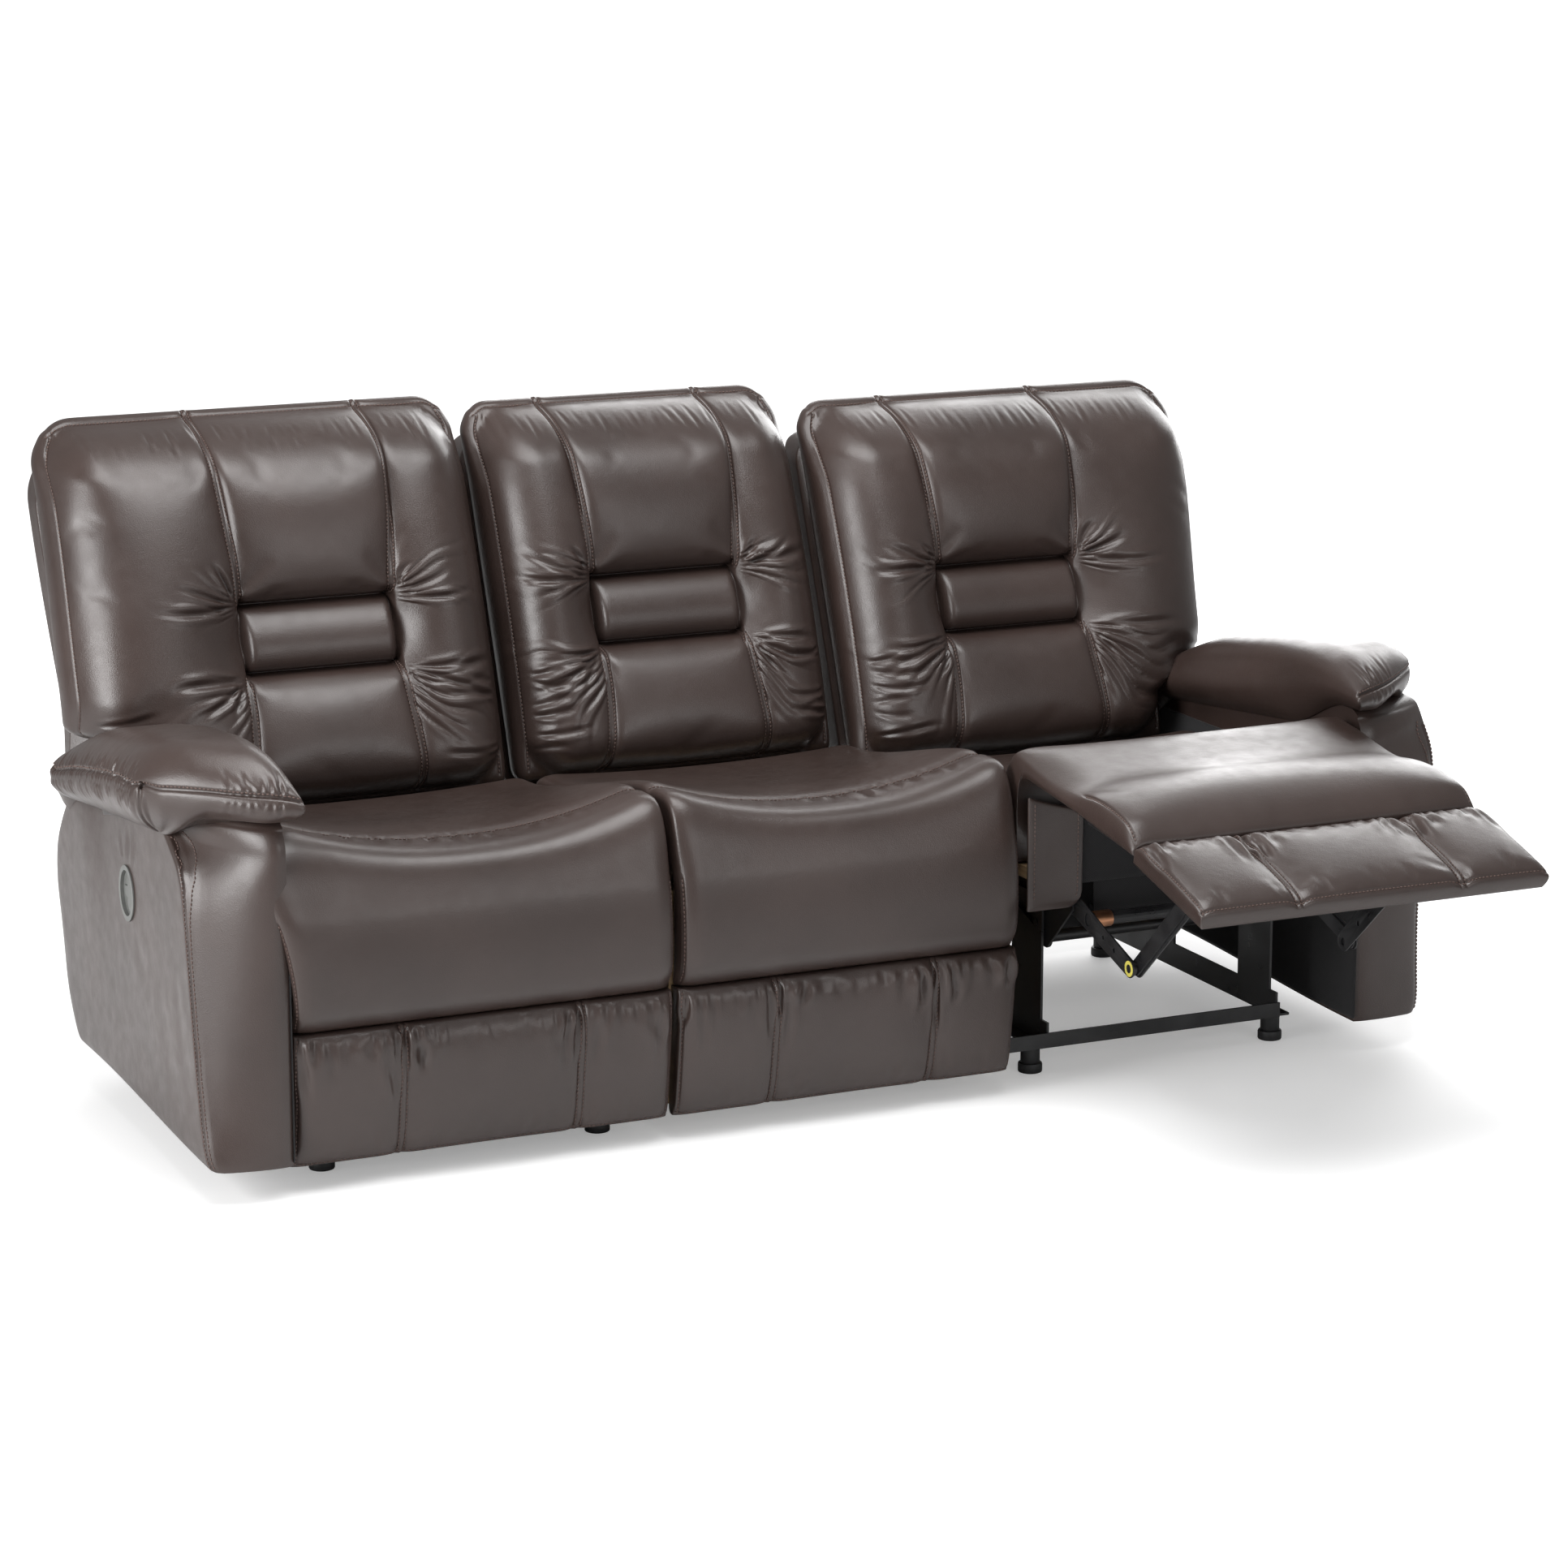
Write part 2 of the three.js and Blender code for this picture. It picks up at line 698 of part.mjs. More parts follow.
const endColumns = () => {
  const innerSpan = lumbarCentre - endInner;
  const outerSpan = endOuter - lumbarCentre;
  const betweenArms = wingStart - lumbarCentre;
  const middle = lumbarHalf * middleColumnShare;
  const seam = [lumbarHalf + seamHalfWidth, lumbarHalf, lumbarHalf - seamHalfWidth, middle];
  return [
    ...innerColumnShares.map((share) => -share * innerSpan),
    ...seam.map((value) => -value),
    ...seam.slice().reverse(),
    ...outerColumnShares.map((share) => mix(lumbarHalf, betweenArms, share)),
    betweenArms - cushionGap,
    betweenArms,
    betweenArms + cushionGap,
    ...wingColumnShares.map((share) => share * outerSpan),
  ];
};

// A bracket of the centre back, from its shell to the rear of the centre seat box.
function backBracket(x) {
  const bottom = centreBracketTop - centreBracketHeight;
  const outline = [
    [centreBoxRear + touchGap, bottom],
    [backPlaneY(bottom) + shellInset, bottom],
    [backPlaneY(centreBracketTop) + shellInset, centreBracketTop],
    [centreBoxRear + touchGap, centreBracketTop],
  ];
  return sidePlate(outline, x - hingeEarThickness / 2, x + hingeEarThickness / 2);
}

// An ear of a reclining back, with the hole that its hinge pin passes through.
function hingeEar(x) {
  const bottom = reclineHinge.z - hingeEarRadius;
  const top = reclineHinge.z + hingeEarRadius;
  const outline = [
    [reclineHinge.y - hingeEarRadius, bottom],
    [backPlaneY(bottom) + shellInset, bottom],
    [backPlaneY(top) + shellInset, top],
    [reclineHinge.y - hingeEarRadius, top],
  ];
  return sidePlate(outline, x, x + hingeEarThickness, [pinHole(reclineHinge)]);
}

// Back shell: a padded frame behind the cushion, leaning with it, with what carries it.
function backShell(side, inner, outer, outerLow, outerRadius, highest, ears) {
  const rise = 1 / Math.cos(backSlope * degrees);
  const up = (z) => (z - backSeatLine.z) * rise;
  const top = up(highest - shellTopDrop);
  const innerRadius = backInnerCornerRadius;
  const shape = new THREE.Path();
  shape.moveTo(inner, up(shellBottom));
  shape.lineTo(outerLow, up(shellBottom));
  shape.lineTo(outerLow, up(shellWingBottom));
  shape.lineTo(outer, up(shellWingBottom));
  shape.lineTo(outer, top - outerRadius);
  shape.absarc(outer - outerRadius, top - outerRadius, outerRadius, 0, Math.PI / 2, false);
  shape.absarc(inner + innerRadius, top - innerRadius, innerRadius, Math.PI / 2, Math.PI, false);
  shape.lineTo(inner, up(shellBottom) + innerRadius);
  const points = shape.getPoints(arcSegments).map((point) => new THREE.Vector2(side * point.x, point.y));
  const distinct = points.filter((point, i) => i === 0 || point.distanceTo(points[i - 1]) > touchGap);
  const outline = new THREE.Shape(distinct);
  const slab = new THREE.ExtrudeGeometry(outline, { depth: shellThickness, bevelEnabled: false });
  const turn = new THREE.Matrix4().makeBasis(
    new THREE.Vector3(1, 0, 0),
    new THREE.Vector3(0, Math.sin(backSlope * degrees), Math.cos(backSlope * degrees)),
    new THREE.Vector3(0, -Math.cos(backSlope * degrees), Math.sin(backSlope * degrees)),
  );
  slab.applyMatrix4(turn);
  slab.translate(
    0,
    backSeatLine.y + shellThickness * Math.cos(backSlope * degrees),
    backSeatLine.z - shellThickness * Math.sin(backSlope * degrees),
  );
  return joined([slab, ...ears]);
}

// Seat cushion: rings across the seat, each the cushion's side outline there.
function seatCushion(centre, halfWidth, front, frontLip) {
  const shares = [...seatColumnShares.map((share) => -share).reverse(), ...seatColumnShares];
  const bend = seatRollRadius * seatRollShares.bend;
  const rings = shares.map((share) => {
    const x = centre + share * halfWidth;
    const saddle = Math.abs(share) ** seatSaddlePower;
    const edge = cornerDrop((1 - Math.abs(share)) * halfWidth, seatRollRadius * seatRollShares.edge);
    const frontTop = seatCentreFrontHeight + seatSideRise * saddle - edge;
    const rearTop = seatCentreRearHeight + seatSideRearRise * saddle - edge;
    const fallFrom = front + bend;
    const fallAt = (y) => smooth((y - fallFrom) / (seatRear - fallFrom)) ** seatFallPower;
    const topAt = (y) => mix(frontTop, rearTop, fallAt(y));
    return [
      [x, seatFrameFront, seatUnderside],
      [x, seatFrameFront, frontLip],
      [x, front + seatSideDraw, frontLip],
      ...seatFrontShares.map(({ reach, rise }) => [x, front + bend * reach, mix(frontLip, frontTop, rise)]),
      [x, front + bend * seatFrontTopShare, frontTop],
      ...seatTopShares.map((along) => [x, mix(front, seatRear, along), topAt(mix(front, seatRear, along))]),
      [x, seatRear - seatSideDraw, rearTop - seatSideDraw],
      [x, seatRear, mix(seatUnderside, rearTop, seatRearRiseShare)],
      [x, seatRear - seatSideDraw, seatUnderside],
    ];
  });
  return loft(rings);
}

// A pad on the front of the footrest or of the centre seat, between two heights of its face.
function facePad(centre, halfWidth, lower, upper, seamShares, bulge) {
  const seams = seamShares.flatMap((share) => [-1, 0, 1].map((step) => share + step * footrestSeamHalfShare));
  const shares = [...footrestColumnShares, ...seams].sort((a, b) => a - b);
  const rings = shares.map((share) => {
    const x = centre + share * halfWidth;
    const side = quarterRound((1 - Math.abs(share)) * halfWidth, footrestSideRadius);
    const seam = seamShares.includes(share) ? footrestSeamDepth : 0;
    const ring = footrestRowShares.map((row) => {
      const z = mix(lower.z, upper.z, row);
      const length = upper.z - lower.z;
      const edge = quarterRound(Math.min(row, 1 - row) * length, footrestSideRadius);
      const back = mix(lower.y, upper.y, row) + footrestPadThickness;
      const full = footrestPadThickness + bulge * Math.sin(Math.PI * row) - seam;
      return [x, back - mix(footrestPadEdge, full, side * edge), z];
    });
    ring.push([x, upper.y + footrestPadThickness, upper.z]);
    ring.push([x, lower.y + footrestPadThickness, lower.z]);
    return ring;
  });
  return loft(rings);
}

const crease = { y: creaseFront, z: creaseHeight };
const upperPadTop = { y: footrestTopFront, z: footrestTop };
const lowerPadTip = { y: footrestTipFront, z: footrestTip };
const justAbove = (point) => ({ y: point.y, z: point.z + creaseGap / 2 });
const justBelow = (point) => ({ y: point.y, z: point.z - creaseGap / 2 });

// Links: the lower link turns on the side plate, the upper link turns on the footrest.
const footrestPivot = turnedPoint(footrestPivotOpen, footrestHinge, footrestSwing * degrees);
const lowerLinkLength = distance(liftPivot, elbowOpen);
const upperLinkLength = distance(elbowOpen, footrestPivotOpen);
const elbowClosed = rearMeeting(liftPivot, lowerLinkLength, footrestPivot, upperLinkLength);
const lowerLinkSwing = heading(liftPivot, elbowOpen) - heading(liftPivot, elbowClosed);
const upperLinkTurn = heading(elbowOpen, footrestPivotOpen) - heading(elbowClosed, footrestPivot);
const wholeTurn = (angle) => angle - 2 * Math.PI * Math.round(angle / (2 * Math.PI));
const upperLinkSwing = wholeTurn(upperLinkTurn) + footrestSwing * degrees;

function footrestFrame(side) {
  const halfWidth = endSeatWidth / 2 - footrestSideGap - footrestBoardInset;
  const back = footrestPadThickness + touchGap;
  const plank = (lower, upper) => sidePlate(
    [
      [lower.y + back, lower.z],
      [lower.y + back + footrestBoard, lower.z],
      [upper.y + back + footrestBoard, upper.z],
      [upper.y + back, upper.z],
    ],
    side * (bayCentre - halfWidth),
    side * (bayCentre + halfWidth),
  );
  const upperEnd = { y: upperPadTop.y, z: upperPadTop.z - footrestBoardInset };
  const lowerEnd = {
    y: mix(lowerPadTip.y, crease.y, footrestBoardEndShare),
    z: mix(lowerPadTip.z, crease.z, footrestBoardEndShare),
  };
  const pieces = [plank(crease, upperEnd), plank(lowerEnd, { y: crease.y, z: crease.z + overrun })];
  for (const reach of [-1, 1]) {
    const near = side * (bayCentre + reach * footrestEarOffset);
    const far = side * (bayCentre + reach * (footrestEarOffset + linkThickness));
    const earTop = crease.z + footrestBoardInset;
    const earBottom = footrestPivot.z - linkHalfWidth;
    const earOutline = [
      [crease.y + back + footrestBoard / 2, earBottom],
      [footrestPivot.y + linkHalfWidth, earBottom],
      [footrestPivot.y + linkHalfWidth, footrestPivot.z + linkHalfWidth],
      [crease.y + back + footrestBoard / 2, earTop],
    ];
    const pinEnd = side * (bayCentre + reach * (upperLinkOffset + linkThickness + 2 * runningGap));
    pieces.push(sidePlate(earOutline, near, far));
    pieces.push(pinAcross(linkPin, near, pinEnd, footrestPivot.y, footrestPivot.z));
  }
  return joined(pieces);
}

function liftFrame(side) {
  const pieces = [-1, 1].map((reach) => linkPlate(
    liftPivot,
    elbowClosed,
    side * (bayCentre + reach * liftLinkOffset),
    side * (bayCentre + reach * (liftLinkOffset + linkThickness)),
    [liftPivot, elbowClosed],
  ));
  const tubeReach = liftLinkOffset + linkThickness / 2;
  pieces.push(pinAcross(
    torsionTubeRadius,
    side * (bayCentre - tubeReach),
    side * (bayCentre + tubeReach),
    mix(liftPivot.y, elbowClosed.y, torsionTubeShare),
    mix(liftPivot.z, elbowClosed.z, torsionTubeShare),
  ));
  return joined(pieces);
}

// An upper link carries the washer that its elbow bears on.
function upperLink(side, reach) {
  const outerFace = side * (bayCentre + reach * (upperLinkOffset + linkThickness));
  const plate = linkPlate(
    footrestPivot,
    elbowClosed,
    side * (bayCentre + reach * upperLinkOffset),
    outerFace,
    [footrestPivot],
  );
  const washerFace = side * (bayCentre + reach * (liftLinkOffset - runningGap));
  const washerStart = side * (bayCentre + reach * (upperLinkOffset + linkThickness / 2));
  return joined([plate, pinAcross(elbowWasher, washerStart, washerFace, elbowClosed.y, elbowClosed.z)]);
}

// Side plate of the moving seat, with the pins for the links, the back and the guide slots.
function seatSidePlate(side, reach) {
  const top = seatUnderside - seatFrameThickness - 2 * touchGap;
  const belly = guidePinClosed[0].z - sidePlateBellyDrop;
  const outline = [
    [seatFrameFront + linkHalfWidth, top],
    [seatFrameFront + linkHalfWidth, liftPivot.z - sidePlateMargin],
    [guidePinClosed[0].y - sidePlateMargin, belly],
    [guidePinClosed[1].y + sidePlateMargin, belly],
    ...sidePlateTail.map((corner) => [reclineHinge.y + corner.y, reclineHinge.z + corner.z]),
    [reclineHinge.y + sidePlateTailReach, reclineHinge.z - hingeEarRadius],
    [reclineHinge.y + sidePlateTailReach, reclineHinge.z + hingeEarRadius],
    [reclineHinge.y - hingeEarRadius, reclineHinge.z + hingeEarRadius],
    [seatFrameRear + hingeEarRadius, top],
  ];
  const near = side * (bayCentre + reach * sidePlateOffset);
  const far = side * (bayCentre + reach * (sidePlateOffset + sidePlateThickness));
  const inside = side * (bayCentre + reach * (liftLinkOffset - 2 * runningGap));
  const outside = side * (bayCentre + reach * (baseRailOffset + baseRailThickness + 2 * runningGap));
  return joined([
    sidePlate(outline, near, far),
    pinAcross(linkPin, far, inside, liftPivot.y, liftPivot.z),
    pinAcross(linkPin, far, inside, reclineHinge.y, reclineHinge.z),
    ...guidePinClosed.map((pin) => pinAcross(guidePinRadius, near, outside, pin.y, pin.z)),
  ]);
}

// Side rail of the base, with two slotted uprights that guide the moving seat.
function baseRail(side, reach) {
  const railTop = floorClearance + touchGap + baseRailHeight;
  const railBottom = floorClearance + touchGap;
  const near = side * (bayCentre + reach * baseRailOffset);
  const far = side * (bayCentre + reach * (baseRailOffset + baseRailThickness));
  const flangeEnd = side * (bayCentre + reach * (baseRailOffset + baseFlangeWidth));
  const uprightTop = guidePinClosed[0].z + guidePinRadius + uprightTopMargin;
  const outline = [[baseRailFront, railBottom], [baseRailFront, railTop]];
  guidePinClosed.forEach((pin) => {
    outline.push([pin.y - seatTravelForward - uprightMargin, railTop]);
    outline.push([pin.y - seatTravelForward - uprightMargin, uprightTop]);
    outline.push([pin.y + uprightMargin, uprightTop]);
    outline.push([pin.y + uprightMargin, railTop]);
  });
  outline.push([baseRailRear, railTop], [baseRailRear, railBottom]);
  const slots = guidePinClosed.map((pin) => slotPath(
    { y: pin.y - seatTravelForward, z: pin.z - seatTravelDown },
    pin,
    guidePinRadius + runningGap,
  ));
  const web = sidePlate(outline, near, far, slots);
  const flangeTop = railBottom + baseRailThickness;
  const flange = block(near, flangeEnd, baseRailFront, baseRailRear, railBottom, flangeTop);
  return joined([web, flange]);
}

function crossRail(side, front, innerReach, outerReach, flangeToRear) {
  const bottom = floorClearance + touchGap;
  const x0 = side * (bayCentre - innerReach);
  const x1 = side * (bayCentre + outerReach);
  const top = bottom + baseRailHeight * crossRailHeightShare;
  const web = block(x0, x1, front, front + crossRailThickness, bottom, top);
  const lip = block(x0, x1, front, front + crossRailFlange, bottom, bottom + crossRailThickness);
  return flangeToRear ? joined([web, lip]) : web;
}

function foot(side, reach, y) {
  const geometry = new THREE.CylinderGeometry(footTopRadius, footRadius, floorClearance, footSides);
  return geometry
    .rotateX(90 * degrees)
    .translate(side * (bayCentre + reach * (baseRailOffset + baseFlangeWidth / 2)), y, floorClearance / 2);
}

function seatFrame(side) {
  const half = endSeatWidth / 2 - seatFrameSide;
  const top = seatUnderside - touchGap;
  return block(
    side * (bayCentre - half),
    side * (bayCentre + half),
    seatFrameFront,
    seatFrameRear,
    top - seatFrameThickness,
    top,
  );
}

// One arm with its panel, pillow top, latch and cable

function addArm(side, word) {
  addMesh(sofa, `${word}_arm_shell`, armShell(side), leather);
  addMesh(sofa, `${word}_arm_panel`, armPanel(side), blackCloth);
  addMesh(sofa, `${word}_arm_pad`, armPad(side, armPadHeights[word]), leather);
  addMesh(sofa, `${word}_latch_bezel`, latchBezel(side), greyPlastic);
  addMesh(sofa, `${word}_latch_paddle`, latchPaddle(side), greyPlastic);
  addMesh(sofa, `${word}_release_cable`, releaseCable(side), blackPlastic);
}

// One reclining end seat, at a share of its travel from closed to open

function addRecliner(side, word, openShare) {
  const centre = side * bayCentre;
  const carriage = new THREE.Group();
  carriage.position.set(0, -seatTravelForward * openShare, -seatTravelDown * openShare);
  sofa.add(carriage);
  addMesh(
    carriage,
    `${word}_seat_cushion`,
    seatCushion(centre, endSeatWidth / 2 - cushionGap, seatFront, footrestTop + cushionGap),
    leather,
  );
  addMesh(carriage, `${word}_seat_frame`, seatFrame(side), timber);
  addMesh(
    carriage,
    `${word}_back_cushion`,
    backCushion(
      endColumns(),
      lumbarCentre,
      side,
      endInner,
      endOuter,
      backOuterCornerRadius,
      wingStart,
      backTops[word],
    ),
    leather,
  );
  const earStart = liftLinkOffset;
  const ears = [-1, 1].map((reach) => {
    const a = side * (bayCentre + reach * earStart);
    const b = side * (bayCentre + reach * (earStart + hingeEarThickness));
    return hingeEar(Math.min(a, b));
  });
  addMesh(
    carriage,
    `${word}_back_shell`,
    backShell(
      side,
      endInner,
      endOuter + shellWingReach,
      armInner - 2 * cushionGap,
      shellCornerRadius,
      backTops[word],
      ears,
    ),
    leather,
  );
  const footrest = turnedGroup(carriage, footrestHinge, -footrestSwing * degrees * openShare);
  const padHalf = endSeatWidth / 2 - footrestSideGap;
  addMesh(
    footrest,
    `${word}_footrest_upper_pad`,
    facePad(centre, padHalf, justAbove(crease), upperPadTop, [], footrestUpperBulge),
    leather,
  );
  addMesh(
    footrest,
    `${word}_footrest_lower_pad`,
    facePad(centre, padHalf, lowerPadTip, justBelow(crease), footrestSeamShares, footrestLowerBulge),
    leather,
  );
  addMesh(footrest, `${word}_footrest_frame`, footrestFrame(side), blackSteel);
  const lift = turnedGroup(carriage, liftPivot, lowerLinkSwing * openShare);
  addMesh(lift, `${word}_lift_frame`, liftFrame(side), blackSteel);
  const links = turnedGroup(footrest, footrestPivot, upperLinkSwing * openShare);
  for (const [reach, place] of [[-1, 'inner'], [1, 'outer']]) {
    addMesh(links, `${word}_${place}_upper_link`, upperLink(side, reach), blackSteel);
    addMesh(carriage, `${word}_${place}_side_plate`, seatSidePlate(side, reach), blackSteel);
    addMesh(sofa, `${word}_${place}_base_rail`, baseRail(side, reach), blackSteel);
    footDistances.forEach((y, i) => {
      addMesh(sofa, `${word}_${place}_${['front', 'rear'][i]}_foot`, foot(side, reach, y), blackPlastic);
    });
  }
  addMesh(
    sofa,
    `${word}_front_cross_rail`,
    crossRail(side, crossRailFront, crossRailInnerReach, crossRailOuterReach, false),
    blackSteel,
  );
  addMesh(
    sofa,
    `${word}_rear_cross_rail`,
    crossRail(side, baseRailRear + touchGap, endSeatWidth / 2 - touchGap, endSeatWidth / 2 - touchGap, true),
    blackSteel,
  );
}

// The fixed centre seat

function centreBox() {
  const half = centreHalf - centreSideInset;
  const back = footrestPadThickness + touchGap;
  const faceAt = (z) => (z < creaseHeight
    ? mix(footrestTipFront, creaseFront, (z - footrestTip) / (creaseHeight - footrestTip))
    : mix(creaseFront, footrestTopFront, (z - creaseHeight) / (footrestTop - creaseHeight)));
  const outline = [
    [faceAt(floorClearance) + back, floorClearance],
    [faceAt(creaseHeight) + back, creaseHeight],
    [faceAt(centreBoxTop) + back, centreBoxTop],
    [centreBoxRear, centreBoxTop],
    [centreBoxRear, floorClearance],
  ];
  const inside = block(
    -half + centreBoxWall,
    half - centreBoxWall,
    faceAt(floorClearance) + back + centreBoxWall,
    centreBoxRear - centreBoxWall,
    floorClearance - overrun,
    centreBoxTop - centreBoxWall,
  );
  return cutBy(sidePlate(outline, -half, half), [inside]);
}

addMesh(
  sofa,
  'centre_seat_cushion',
  seatCushion(0, centreHalf - cushionGap, seatFront, footrestTop + cushionGap),
  leather,
);
const centreBackHalf = centreHalf - backGap / 2;
addMesh(
  sofa,
  'centre_back_cushion',
  backCushion(
    centreColumns(),
    0,
    1,
    -centreBackHalf,
    centreBackHalf,
    backInnerCornerRadius,
    centreBackHalf + cushionGap,
    backTops.centre,
  ),
  leather,
);
addMesh(
  sofa,
  'centre_back_shell',
  backShell(
    1,
    -centreBackHalf,
    centreBackHalf,
    centreBackHalf,
    backInnerCornerRadius,
    backTops.centre,
    [-centreBracketOffset, centreBracketOffset].map(backBracket),
  ),
  leather,
);
const centrePadHalf = centreHalf - cushionGap / 2;
addMesh(
  sofa,
  'centre_front_upper_pad',
  facePad(0, centrePadHalf, justAbove(crease), upperPadTop, [], footrestUpperBulge),
  leather,
);
addMesh(
  sofa,
  'centre_front_lower_pad',
  facePad(0, centrePadHalf, lowerPadTip, justBelow(crease), footrestSeamShares, footrestLowerBulge),
  leather,
);
addMesh(sofa, 'centre_seat_box', centreBox(), timber);
addMesh(
  sofa,
  'rear_lower_panel',
  block(
    -armInner + touchGap,
    armInner - touchGap,
    rearPanelFront,
    rearPanelFront + rearPanelThickness,
    rearPanelBottom,
    rearPanelTop,
  ),
  blackCloth,
);

for (const [side, word, openShare] of [[-1, 'left', leftOpenShare], [1, 'right', rightOpenShare]]) {
  addArm(side, word);
  addRecliner(side, word, openShare);
}

// The origin is under the middle of the whole sofa as it stands.
sofa.updateMatrixWorld(true);
const reach = new THREE.Box3().setFromObject(sofa, true);
sofa.position.y = -(reach.min.y + reach.max.y) / 2;

export default sofa;
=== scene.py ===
import json
import math

import bmesh
import bpy
import numpy as np
from mathutils import Matrix, Vector


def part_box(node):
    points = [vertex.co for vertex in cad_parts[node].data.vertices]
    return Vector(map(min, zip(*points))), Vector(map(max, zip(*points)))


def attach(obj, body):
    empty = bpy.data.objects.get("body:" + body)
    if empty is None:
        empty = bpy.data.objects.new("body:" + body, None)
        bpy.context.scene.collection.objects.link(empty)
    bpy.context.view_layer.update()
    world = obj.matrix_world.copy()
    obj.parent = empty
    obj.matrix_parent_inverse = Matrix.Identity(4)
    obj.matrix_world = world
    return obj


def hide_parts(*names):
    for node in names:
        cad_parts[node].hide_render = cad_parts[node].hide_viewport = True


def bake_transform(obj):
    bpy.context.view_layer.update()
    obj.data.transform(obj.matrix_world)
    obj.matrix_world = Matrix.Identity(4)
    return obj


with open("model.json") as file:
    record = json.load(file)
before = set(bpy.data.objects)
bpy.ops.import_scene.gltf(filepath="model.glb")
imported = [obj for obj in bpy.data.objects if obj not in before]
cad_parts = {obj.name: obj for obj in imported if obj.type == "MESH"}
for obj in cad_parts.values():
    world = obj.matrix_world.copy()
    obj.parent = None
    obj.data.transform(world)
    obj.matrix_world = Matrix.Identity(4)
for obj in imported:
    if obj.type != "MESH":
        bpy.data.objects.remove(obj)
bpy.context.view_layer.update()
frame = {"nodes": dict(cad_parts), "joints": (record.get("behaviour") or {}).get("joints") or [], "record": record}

# All sizes are in metres. Depths are measured from the front faces of the arms, and
# heights from the floor; the front faces stand this far from the frame's origin.
ARM_FRONT = -0.23466

# Main sizes, as in the frame
CENTRE_HALF = 0.289
END_WIDTH = 0.604
ARM_INNER = CENTRE_HALF + END_WIDTH
ARM_THICK = 0.127
ARM_OUTER = ARM_INNER + ARM_THICK
BAY_CENTRE = CENTRE_HALF + END_WIDTH / 2
ARM_DEPTH = 0.775
FLOOR_GAP = 0.048
SEAT_TRAVEL = (-0.060, -0.020)
FOOTREST_HINGE = (0.022, 0.540)
FOOTREST_SWING = math.radians(81)
OPEN = {"left": 0.0, "centre": 0.0, "right": 1.0}
SIDE = {"left": -1, "centre": 1, "right": 1}

# Backs
BACK_LEAN = math.tan(math.radians(21.3))
BACK_FOOT = (0.720, 0.430)
BACK_TOP = {"left": 1.021, "centre": 1.007, "right": 1.002}
BACK_BOTTOM = 0.427
BACK_GAP = 0.008
LUMBAR_HALF = 0.128
LUMBAR_LOW = 0.629
LUMBAR_HIGH = 0.732
LUMBAR_CENTRE = 0.598
WING_OUTER = 1.000
WING_START = 0.878
WING_BOTTOM = 0.505
WING_TOP = 0.560
WING_LOW = {"left": 1.006, "right": 0.976}


def mix(a, b, share):
    return a + (b - a) * share


def ease(share):
    share = np.clip(share, 0, 1)
    return share * share * (3 - 2 * share)


def bell(distance, width):
    return np.exp(-((distance / width) ** 2))


def round_off(distance, radius):
    """0 at an edge, rising as a quarter round to 1 at radius from it."""
    return np.sqrt(1 - (1 - np.clip(distance / radius, 0, 1)) ** 2)


def stations(share, stops, counts, gather=0.6):
    """Places between the stops, with count steps from each to the next, closer together beside the stops."""
    total = sum(counts)
    place = stops[0] + 0 * share
    passed = 0
    for low, high, count in zip(stops[:-1], stops[1:], counts):
        local = np.clip((share * total - passed) / count, 0, 1)
        local = local - gather * np.sin(2 * np.pi * local) / (2 * np.pi)
        place = place + (high - low) * local
        passed += count
    return place


# Blanks and moulding

def start_clean():
    if bpy.context.object and bpy.context.object.mode != "OBJECT":
        bpy.ops.object.mode_set(mode="OBJECT")
    bpy.ops.object.select_all(action="DESELECT")


def pick(piece):
    start_clean()
    piece.select_set(True)
    bpy.context.view_layer.objects.active = piece


def blank(name, columns, rows, layers):
    """A blank: a fine sheet with its edge drawn down in layers, open below until it is finished."""
    start_clean()
    bpy.ops.mesh.primitive_grid_add(x_subdivisions=columns, y_subdivisions=rows, size=2, location=(0, 0, 0))
    piece = bpy.context.object
    piece.name = name
    piece.data.name = name
    bpy.ops.object.mode_set(mode="EDIT")
    bpy.ops.mesh.select_mode(type="EDGE")
    bpy.ops.mesh.select_all(action="SELECT")
    bpy.ops.mesh.region_to_loop()
    for _ in range(layers):
        bpy.ops.mesh.extrude_edges_move(TRANSFORM_OT_translate={"value": (0, 0, -1)})
    bpy.ops.object.mode_set(mode="OBJECT")
    keep_pattern(piece)
    return piece


def keep_pattern(piece):
    """Keeps each point's place on the blank, which later steps find seams by."""
    pattern = piece.data.attributes.new("pattern", "FLOAT_VECTOR", "POINT")
    pattern.data.foreach_set("vector", places(piece).astype(np.float32).ravel())


def pattern_of(piece):
    values = np.zeros(len(piece.data.vertices) * 3, np.float32)
    piece.data.attributes["pattern"].data.foreach_get("vector", values)
    return values.reshape(-1, 3).astype(float)


def places(piece):
    values = np.zeros(len(piece.data.vertices) * 3, np.float32)
    piece.data.vertices.foreach_get("co", values)
    return values.reshape(-1, 3).astype(float)


def set_places(piece, points):
    piece.data.vertices.foreach_set("co", points.astype(np.float32).ravel())
    piece.data.update()


def normals_of(piece):
    values = np.zeros(len(piece.data.vertices) * 3, np.float32)
    piece.data.vertices.foreach_get("normal", values)
    return values.reshape(-1, 3).astype(float)


def mould(piece, form):
    """Moves each point of the blank to its place on the form."""
    pattern = pattern_of(piece)
    set_places(piece, form(pattern[:, 0], pattern[:, 1], -pattern[:, 2]))
    pick(piece)
    bpy.ops.object.mode_set(mode="EDIT")
    bpy.ops.mesh.select_all(action="SELECT")
    bpy.ops.mesh.normals_make_consistent(inside=False)
    bpy.ops.object.mode_set(mode="OBJECT")


def stack(x, y, z):
    return np.stack([x + 0 * z, y + 0 * z, z + 0 * x], axis=1)


